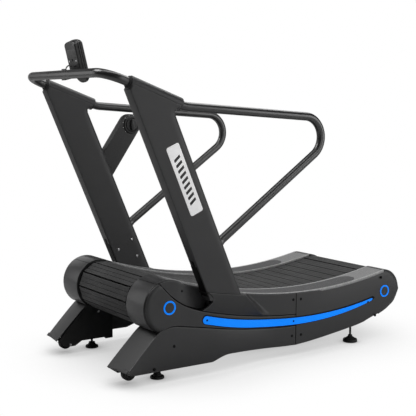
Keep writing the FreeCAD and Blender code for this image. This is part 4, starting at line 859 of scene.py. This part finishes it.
def grip_pad():
    """Grip pad on the rail: its half width closes as an ellipse at the rear end, its edges are eased."""
    middle, half, front, rear, nose, thick = (RAIL_INNER + RAIL_OUTER) / 2, 56.0, -500.0, 640.0, 60.0, 1.6
    y = np.unique(np.concatenate([np.linspace(front, rear - nose, 150),
                                  rear - nose * np.cos(np.linspace(1.5, 0.02, 24))]))[:, None]
    width = half * np.sqrt(1 - np.clip((y - (rear - nose)) / nose, 0, 0.9995) ** 2)
    v = crowded(18) * 2 - 1
    from_edge = np.minimum((1 - np.abs(v)) * width, np.minimum(y - front, rear - y))
    rise = thick * np.sqrt(1 - (1 - np.clip(from_edge / thick, 0, 1)) ** 2)
    level = deck_height(y, RAIL_RISE)
    return Shell().plate(spread(middle + width * v, y, level + rise), spread(middle + width * v, y, level - 1.5))


def make_rails():
    rail = step_rail()
    for name, side in SIDES:
        piece(f"step_rail_top_{name}", rail.mirrored(side), rail_moulding, [f"step_rail_{name}"])
    piece("grip_pad_tops", grip_pad().both_sides(), grip_surface, ["grip_pads"])


# Uprights and handrail

PLACE, WIDTH, DEPTH, FOOT, COVER_TOP = 436.0, 64.0, 174.0, 310.0, 366.0
LEAN, MID_Y, MID_Z = math.radians(23.1), -521.5, 895.0
SLOPE = math.radians(20.4)
SLEEVE_FRONT = np.array([PLACE, -802.0, 1387.0])
ALONG = np.array([0.0, math.cos(SLOPE), -math.sin(SLOPE)])
UNDER = np.array([0.0, -math.sin(SLOPE), -math.cos(SLOPE)])
UPWARD = np.array([0.0, -math.sin(LEAN), math.cos(LEAN)])
FORWARD = np.array([0.0, -math.cos(LEAN), -math.sin(LEAN)])
SLEEVE_LENGTH, TUBE = 282.0, 21.0
CROSSBAR_Y, CROSSBAR_BEND = -913.0, 102.0
BAR = SLEEVE_FRONT + ALONG * ((CROSSBAR_Y - SLEEVE_FRONT[1]) / ALONG[1])
RAIL_CORNER, RAIL_BENDS = np.array([PLACE, 506.0, 1208.0]), (150.0, 105.0)
RAIL_RETURN = np.array([0.0, -math.cos(math.radians(34.5)), -math.sin(math.radians(34.5))])


def upright_y(z, offset=0.0):
    """Y at height z of the upright's middle line, or of a line offset behind it."""
    return MID_Y - (z - MID_Z) * math.tan(LEAN) + offset / math.cos(LEAN)


def upright_top(offset, drop):
    """(y, z) where an edge of the upright meets the line drop below the sleeve's axis."""
    z = bisected(900.0, 1600.0, lambda z: z < SLEEVE_FRONT[2] - math.tan(SLOPE) * (
        upright_y(z, offset) - SLEEVE_FRONT[1]) - drop / math.cos(SLOPE))
    return np.array([upright_y(z, offset), z])


def upright():
    """Box section with eased long edges, filleted into the sleeve above it, on a narrower foot in the cover.

    The section is drawn between its front and rear edge lines; the sleeve is turned about the tube's axis.
    """
    half, foot = DEPTH / 2, COVER_TOP
    front, under = upright_top(-half, 31.0), upright_top(half, 31.0)
    past = under + ALONG[1:] * 34
    ahead = rounded_corners([(upright_y(foot, -half), foot), front, (SLEEVE_FRONT + UNDER * 31)[1:],
                             (SLEEVE_FRONT + ALONG * 8 + UNDER * 4)[1:]], [0, 16, 5, 0], 7)
    behind = rounded_corners([(upright_y(foot, half), foot), under, past, past - UNDER[1:] * 27],
                             [0, 30, 4, 0], 7)

    def edges(broad, small):
        """The radius or drop of an outline: broad along the rear edge, small elsewhere."""
        def value(line):
            offset = (line[:, 0] - upright_y(line[:, 1])) * math.cos(LEAN)
            return np.where((offset > half - 3) & (line[:, 1] < under[1] - 20), broad, small)
        return value

    shell = panel(ahead, behind, lambda y, z: PLACE + WIDTH / 2 + 0 * y, edges(34.0, 5.0), edges(12.0, 5.0),
                  box=WIDTH, step=16.0, seam=0.0, tone=0.5)
    tongue = [(upright_y(FOOT, -half), FOOT), (upright_y(FOOT, half - 30), FOOT),
              (upright_y(foot + 4, half - 30), foot + 4), (upright_y(foot + 4, -half + 8), foot + 4)]
    # The tongue, the upright's foot inside the cover, is in full painted shade (tone -1).
    shell.add(slab(tongue, PLACE - WIDTH / 2, PLACE - 4, 2.0, steps=2, tone=-1.0))
    sleeve = eased([(0, TUBE + 0.4), (0, 32), (SLEEVE_LENGTH, 32), (SLEEVE_LENGTH, TUBE + 0.4)], 4.0, 4, ring=True)
    return shell.add(turned(sleeve, SLEEVE_FRONT, ALONG, 56, closed=True))


def sleeve_ring():
    """Soft rings round the tube at both ends of the sleeve."""
    front = eased([(-9, TUBE + 0.3), (-9, 25.5), (-6, 28), (1, 28), (1, TUBE + 0.3)], 1.5, ring=True)
    rear = eased([(SLEEVE_LENGTH - 1, TUBE + 0.3), (SLEEVE_LENGTH - 1, 27), (SLEEVE_LENGTH + 2.5, 26),
                  (SLEEVE_LENGTH + 3.5, TUBE + 0.3)], ring=True)
    return turned(front, SLEEVE_FRONT, ALONG, closed=True).add(turned(rear, SLEEVE_FRONT, ALONG, closed=True))


def make_uprights():
    shell = upright()
    for name, side in SIDES:
        piece(f"upright_post_{name}", shell.mirrored(side), powder_paint, [f"upright_{name}"],
              sharp=30)
    piece("sleeve_grommets", sleeve_ring().both_sides(), foot_rubber, ["sleeve_rings"])
    slot_z = 547
    front = np.array([PLACE, upright_y(slot_z, -DEPTH / 2 - 0.6), slot_z])

    def on_front(across, flat):
        return front + np.outer(across, FORWARD) + np.outer(flat[:, 0], ACROSS) + np.outer(flat[:, 1], UPWARD)

    plug = slab(rounded_corners([(-9, -16), (9, -16), (9, 16), (-9, 16)], 7, 5), -2, 1.2, 0.8, on_front)
    # The long slab is a thin black plate down the front face below the slot, darkening its lower part.
    plug.add(slab([(-29, -172), (23, -172), (23, -14), (-29, -14)], -2, 0.9, 0.4, on_front, tone=0.0))
    piece("upright_slot_plugs", plug.both_sides(), black_screw)


def make_handrail():
    left = [SLEEVE_FRONT + ALONG * SLEEVE_LENGTH * 0.45, BAR]
    right = [point * (-1, 1, 1) for point in reversed(left)]
    piece("crossbar_tube", tube(bent_line(left + right, [CROSSBAR_BEND] * 2), TUBE), tube_paint,
          ["crossbar"])

    def clear(run):
        end = RAIL_CORNER + RAIL_RETURN * run
        return end[1] > upright_y(end[2], DEPTH / 2 - 8)

    run = bisected(300.0, 1400.0, clear)
    start, kink = (SLEEVE_FRONT + ALONG * reach for reach in (SLEEVE_LENGTH * 0.45 + 6, SLEEVE_LENGTH + 24))
    shell = tube(bent_line([start, kink, RAIL_CORNER, RAIL_CORNER + RAIL_RETURN * run], RAIL_BENDS), TUBE)
    weld = eased([(-14, TUBE), (-14, TUBE + 1.0), (-4, TUBE + 3.0), (2, TUBE + 4.5), (6, TUBE + 5), (6, TUBE)],
                 1.0, 2, ring=True)
    shell.add(turned(weld, RAIL_CORNER + RAIL_RETURN * (run - 6), RAIL_RETURN, 40, closed=True))
    for name, side in SIDES:
        piece(f"handrail_tube_{name}", shell.mirrored(side), tube_paint, [f"handrail_{name}"])


PLATE_Z, PLATE_SHIFT, PLATE_HALF, PLATE_LONG, MARK_STEP = 944.0, 10.0, 36.0, 172.0, 27.0


def on_plate(across, flat):
    """Places (offset, height) of the side plate, square to the upright's lean, at X = across."""
    turn = np.array([(math.cos(LEAN), math.sin(LEAN)), (-math.sin(LEAN), math.cos(LEAN))])
    return np.column_stack([across, (upright_y(PLATE_Z), PLATE_Z) + flat @ turn])


def make_side_plates():
    outer, low, high = PLACE + WIDTH / 2, PLATE_SHIFT - PLATE_HALF, PLATE_SHIFT + PLATE_HALF
    corners = [(low, -PLATE_LONG), (high, -PLATE_LONG), (high, PLATE_LONG), (low, PLATE_LONG)]
    plate = slab(rounded_corners(corners, 12), outer - 0.5, outer + 1.6, 0.7, on_plate, 3)
    piece("side_plate_faces", plate.both_sides(), pale_plate, ["side_plates"])
    marks = Shell()
    for middle in np.arange(-4, 5) * MARK_STEP:
        bar = np.array([(-19, -16), (19, -2), (19, 12), (-19, -2)]) + (PLATE_SHIFT, middle)
        marks.add(slab(rounded_corners(bar, 2, 3), outer + 1.2, outer + 1.9, 0.25, on_plate, 2))
    piece("side_plate_marks", marks.both_sides(), plate_ink)


# Selector arm

ARM_END, ARM_SLOPE = np.array([-318.0, 1178.0]), 55.5
ARM_LOW, ARM_HIGH, ARM_HALF = -460.0, -410.0, 58.0


def make_selector():
    way = polar((0, 0), 1.0, ARM_SLOPE)
    aside = np.array([-way[1], way[0]]) * ARM_HALF

    def at_upright(corner):
        """The first point, going up the arm in 2 mm steps, that lies past the upright's rear edge."""
        line = corner - way * 300 + way * np.arange(0, 402, 2.0)[:, None]
        return line[np.argmin(line[:, 0] < upright_y(line[:, 1], DEPTH / 2 - 6))][None]

    nose = polar(ARM_END, ARM_HALF, np.linspace(ARM_SLOPE - 90, ARM_SLOPE + 90, 40))
    line = np.concatenate([at_upright(ARM_END - aside), nose, at_upright(ARM_END + aside)])
    piece("selector_arm_body", slab(line, ARM_LOW, ARM_HIGH, 6.0, steps=5), shaded_arm_paint,
          ["selector_arm"], sharp=30)
    centre = (ARM_HIGH, *ARM_END)
    bezel = eased([(-1, 36.8), (6.5, 36.8), (7.5, 38), (7.0, 45), (4, 48), (-1, 48)], 1.2, ring=True)
    piece("selector_bezel", turned(bezel, centre, around=64, closed=True), console_shell,
          ["selector_ring"])
    knob = eased([(0.6, 0), (0.6, 35.5), (6, 35.5), (8, 34), (9, 31), (9.2, 24), (8.6, 0)], 1.2)
    grip = rounded_corners([(-7, -30), (7, -30), (11, 0), (7, 30), (-7, 30), (-11, 0)], 7, 5)
    shell = turned(knob, centre, around=64).add(slab(grip + ARM_END, ARM_HIGH + 7, ARM_HIGH + 22, 3.5))
    piece("selector_knob", shell, console_shell, ["selector_dial"], "selector")
    ticks = Shell()
    for spot in polar(ARM_END, 51.5, np.linspace(-135, 135, 10) + 90):
        ticks.add(turned([(-0.5, 0), (-0.5, 1.4), (0.5, 1.4), (0.7, 1.0), (0.8, 0)], (ARM_HIGH, *spot), around=12))
    piece("selector_ticks", ticks, pale_plate)


# Console and its lead

TILT = math.radians(13.6)
CONSOLE = np.array([0.0, -844.0, BAR[2]])
CONSOLE_UP = np.array([0.0, -math.sin(TILT), math.cos(TILT)])
CONSOLE_OUT = np.array([0.0, math.cos(TILT), math.sin(TILT)])


def in_console(depth, flat):
    """Places (x, height) points of the console's own face at a depth from its back."""
    return (CONSOLE + np.outer(depth, CONSOLE_OUT) + np.outer(flat[:, 0], ACROSS)
            + np.outer(flat[:, 1], CONSOLE_UP))


def console_spot(x, height, depth=0.0):
    return in_console([depth], np.array([[x, height]]))[0]


def console_line(half, low, high, chin, crown):
    """Outline of the console: straight sides, a round chin and a shallow crown, each half an ellipse."""
    a = np.linspace(0, np.pi, 28)
    top = np.column_stack([half * np.cos(a), high - crown + crown * np.sin(a) ** 0.8])
    bottom = np.column_stack([-half * np.cos(a), low + chin - chin * np.sin(a) ** 0.9])
    return np.concatenate([top, bottom])


def make_console():
    housing = slab(console_line(57, -12, 158, 14, 22), 0, 25, 6.0, in_console, 5)
    housing.add(slab(console_line(59.5, -20, 160, 18, 23), 17, 25, 2.0, in_console, 3))
    bezel = slab(console_line(61, -44, 162, 46, 24), 24.5, 42, 5.0, in_console, 5)
    window = rounded_corners([(-45, 62), (45, 62), (45, 142), (-45, 142)], 6, 5)
    door = rounded_corners([(-42, 77), (42, 77), (42, 119), (-42, 119)], 4, 4)
    clip = rounded_corners([(34, 138), (52, 134), (52, 143), (36, 148)], 2, 3)
    head = eased([(-2, 0), (-2, 4.5), (1.0, 4.5), (2.4, 3.2), (2.4, 2.2), (1.2, 1.8), (1.2, 0)], 0.4, 2)
    screws = turned(head, console_spot(-36, 65), -CONSOLE_OUT, 24).add(
        turned(head, console_spot(36, 65), -CONSOLE_OUT, 24))
    dimple = eased([(-1, 0), (-1, 6), (0.3, 6), (0.5, 4.6), (0.1, 0)], 0.3, 2)
    for name, shell, material, slot, nodes, body in (
            ("console_back", housing, console_shell, "console_black", ["console_housing"], "frame"),
            ("console_front", bezel, console_shell, "console_black", ["console_bezel"], "frame"),
            ("console_window", slab(window, 38, 42.6, 0.8, in_console, 3), dark_window, "lens", ["display_lens"],
             "frame"),
            ("battery_hatch", slab(door, -0.8, 2.2, 0.8, in_console, 3), door_moulding, "console_black",
             ["battery_door"], "door"),
            ("console_screw_heads", screws, bright_steel, "bright_steel", ["console_screws"], "frame"),
            ("console_port", turned(dimple, console_spot(0, 70), -CONSOLE_OUT, 24), black_screw, "soft_black", [],
             "frame"),
            ("console_corner_clip", slab(clip, -2.0, 3, 1.0, in_console, 3), grey_lead, "button_grey", [],
             "frame")):
        piece(name, shell, material, nodes, body)
    key = eased([(-3, 0), (-3, 6.8), (1.2, 6.8), (2.0, 5.6), (1.6, 0)], 0.8)
    for name, x, height in (("reset", -32, 36), ("mode", 0, 30), ("set", 32, 36)):
        piece(f"key_{name}", turned(key, console_spot(x, height, 42.0), CONSOLE_OUT, 32), grey_key,
              [f"button_{name}"], f"button_{name}")


def make_lead():
    """The short lead from the crossbar into the console's back, as one smooth spline."""
    route = [(24, CROSSBAR_Y + 4, BAR[2] + 20), (23, CROSSBAR_Y + 8, BAR[2] + 33),
             (12, CROSSBAR_Y + 26, BAR[2] + 44), (0, -871, BAR[2] + 36.5), tuple(console_spot(0, 40, 1.0))]
    line = bpy.data.curves.new("sensor_lead_line", "CURVE")
    line.dimensions = "3D"
    spline = line.splines.new("NURBS")
    spline.points.add(len(route) - 1)
    for point, spot in zip(spline.points, route):
        point.co = (*(np.array(spot) * MM), 1.0)
    spline.order_u = 3
    spline.use_endpoint_u = True
    line.bevel_depth, line.bevel_resolution, line.resolution_u, line.use_fill_caps = 3 * MM, 4, 12, True
    line.materials.append(grey_lead)
    lead = placed("sensor_lead_cable", line)
    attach(lead, "frame")
    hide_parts("sensor_lead")


# Feet, wheels, fasteners

FOOT_PLACE, SCREW_RADIUS = 340, 6.0


def make_feet():
    for end, y, radius, height, neck, top in (("front", -610, 34, 22, 17, 80), ("rear", 616, 39, 30, 12, 140)):
        profile = [(0, 0), (0, radius - 3), (2, radius), (height * 0.4, radius), (height * 0.55, radius - 2),
                   (height * 0.7, radius * 0.66), (height, neck + 2), (height, neck), (height + 8, neck),
                   (height + 9, neck - 2), (height + 9, SCREW_RADIUS)]
        turns = np.arange(height + 10, top - 1, 1.0)
        profile += [(z, 5.4 if k % 2 else SCREW_RADIUS) for k, z in enumerate(turns)]
        profile += [(top, 5.0), (top, 0)]
        for name, side in SIDES:
            foot = f"foot_{end}_{name}"
            piece(f"foot_pad_{end}_{name}", turned(profile, (side * FOOT_PLACE, y, 0), (0, 0, 1), 40), foot_rubber,
                  [foot], foot)


def make_wheels():
    tyre = [(-15, 6.1), (-15, 12), (-12, 14), (-12, 24), (-14.5, 27), (-15, 31), (-12.5, 34)]
    tyre = eased(tyre + [(-x, radius) for x, radius in reversed(tyre)], 1.5, 2, ring=True)
    for name, side in SIDES:
        piece(f"roller_{name}", turned(tyre, (side * FOOT_PLACE, -766, 50), closed=True), foot_rubber,
              [f"transport_wheel_{name}"], f"wheel_{name}")


def screw_head(radius, height=2.5):
    """Button head with a hexagon socket, as (height, radius) points."""
    return eased([(-3, 0), (-3, radius), (0.3 * height, radius), (0.9 * height, radius * 0.72),
                  (height, radius * 0.5), (height, radius * 0.42), (0.25 * height, radius * 0.36),
                  (0.25 * height, 0)], 0.4, 2)


def make_screws():
    """Each screw: its head's radius and height, and its place."""
    dark, bright = Shell(), Shell()
    screws = [(7.5, 1.0, NARROW, y, z) for y, z in ((172, 294), (222, 292), (165, 106), (225, 104), (790, 345),
                                                    (750, 139))]
    screws += [(7.5, 1.0, WIDE, -575, 170), (7.5, 1.0, WIDE, -682, 76),
               (5.5, 2.5, shoulder_face(-526.0), -526, 424)]
    screws += [(5.5, 1.4, wide_face(float(y)) + 0.8, y, z) for y, z in ((-391, 269), (174, 182), (693, 220))]
    for radius, height, *spot in screws:
        dark.add(turned(screw_head(radius, height), spot, around=20))
    piece("cover_screw_heads", dark.both_sides(), black_screw, ["cover_screws"])
    bolts = [(7.0, PLACE - WIDTH / 2, upright_y(z, offset), z) for z, offset in ((500, -50), (550, 45), (455, 38))]
    for radius, *spot in bolts + [(6.0, 276, -600, 205)]:
        bright.add(turned(screw_head(radius, 4.0), spot, (-1, 0, 0), 24))
    piece("upright_bolt_heads", bright.both_sides(), bright_steel)


# Studio

ROOM_GLOW, FLOOR_REACH = 0.05, 30.0
HEART = (0.0, 0.0, 0.5)
LIGHTS = (       # place, target, size, power
    ("right_box", (5.4, 0.0, 1.7), HEART, (3.0, 3.0), 34),
    ("right_back_box", (3.8, 3.8, 1.7), HEART, (3.0, 3.0), 66),
    ("left_back_box", (-3.8, 3.8, 1.7), HEART, (3.0, 3.0), 20),
    ("left_box", (-5.4, 0.0, 1.7), HEART, (3.0, 3.0), 22),
    ("left_front_box", (-3.8, -3.8, 1.7), HEART, (3.0, 3.0), 30),
    ("high_right_box", (4.3, 1.1, 4.0), (0.4, 0.0, 0.95), (1.7, 1.7), 22),
    ("over_box", (0.2, 0.0, 4.6), (0.2, 0.0, 0.0), (1.5, 4.2), 60),
    ("high_back_box", (-1.8, 3.0, 4.7), HEART, (2.4, 2.4), 60),
    ("high_front_box", (-1.8, -3.0, 4.7), HEART, (2.2, 2.2), 100),
)


def floor_paper():
    """White paper that stays white to the eye and darkens softly where the machine hides the room from it.

    Each of two shades is an occlusion value, read within a distance, carried to its own darkest tone.
    """
    material = finish("floor_paper", grey(0.60), (0.7, 0.8), 300, 0.02, cloud=grey(0.62), scuff=0.0, specular=0.1)
    tree = material.node_tree
    wide, near = (mapped(tree, node(tree, "AmbientOcclusion", {"Distance": distance}, samples=12).outputs["AO"],
                         0.2, open_at, darkest, 1.0)
                  for distance, open_at, darkest in ((0.55, 0.92, 0.60), (0.12, 0.95, 0.42)))
    painted_glow = node(tree, "Emission", {"Strength": arithmetic(tree, "MULTIPLY", wide, near)})
    choice = node(tree, "MixShader", {"Fac": node(tree, "LightPath").outputs["Is Camera Ray"],
                                      1: tree.nodes["Principled BSDF"].outputs["BSDF"],
                                      2: painted_glow.outputs["Emission"]})
    feed(tree, tree.nodes["Material Output"], {"Surface": choice.outputs["Shader"]})
    return material


def make_studio():
    scene = bpy.context.scene
    scene.view_settings.view_transform, scene.view_settings.look = "Standard", "None"
    scene.world = bpy.data.worlds.new("studio")
    scene.world.use_nodes = True
    tree = scene.world.node_tree
    seen = node(tree, "LightPath").outputs["Is Camera Ray"]
    feed(tree, tree.nodes["Background"], {"Color": (1, 1, 1, 1),
                                          "Strength": mapped(tree, seen, 0, 1, ROOM_GLOW, 1.0)})
    sheet = bpy.data.meshes.new("floor")
    corners = [(FLOOR_REACH * x, FLOOR_REACH * y, 0) for x, y in ((-1, -1), (1, -1), (1, 1), (-1, 1))]
    sheet.from_pydata(corners, [], [(0, 1, 2, 3)])
    sheet.materials.append(floor_paper())
    placed("floor", sheet)
    for name, spot, target, size, power in LIGHTS:
        light = bpy.data.lights.new(name, "AREA")
        light.shape, light.energy = "RECTANGLE", power
        light.size, light.size_y = size
        lamp = placed(name, light)
        lamp.location = spot
        lamp.rotation_euler = (Vector(target) - Vector(spot)).to_track_quat("-Z", "Y").to_euler()


# Finishes of the CAD nodes that stay in view
DRESSED = {
    inner_paint: ["side_beams", "cross_members", "leg_plates", "brake_bracket"],
    console_shell: ["console_bracket"],
    cast_metal: ["front_pulleys", "rear_pulleys", "shaft_bearings", "magnet_yoke"],
    bright_steel: ["front_shaft", "rear_shaft", "wheel_axles", "brake_disc", "guide_bearings"],
}

for make in (make_treads, make_covers, make_rails, make_uprights, make_handrail, make_side_plates, make_selector,
             make_console, make_lead, make_feet, make_wheels, make_screws, make_studio):
    make()
for material, members in DRESSED.items():
    for member in members:
        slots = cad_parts[member].data.materials
        slots.clear()
        slots.append(material)
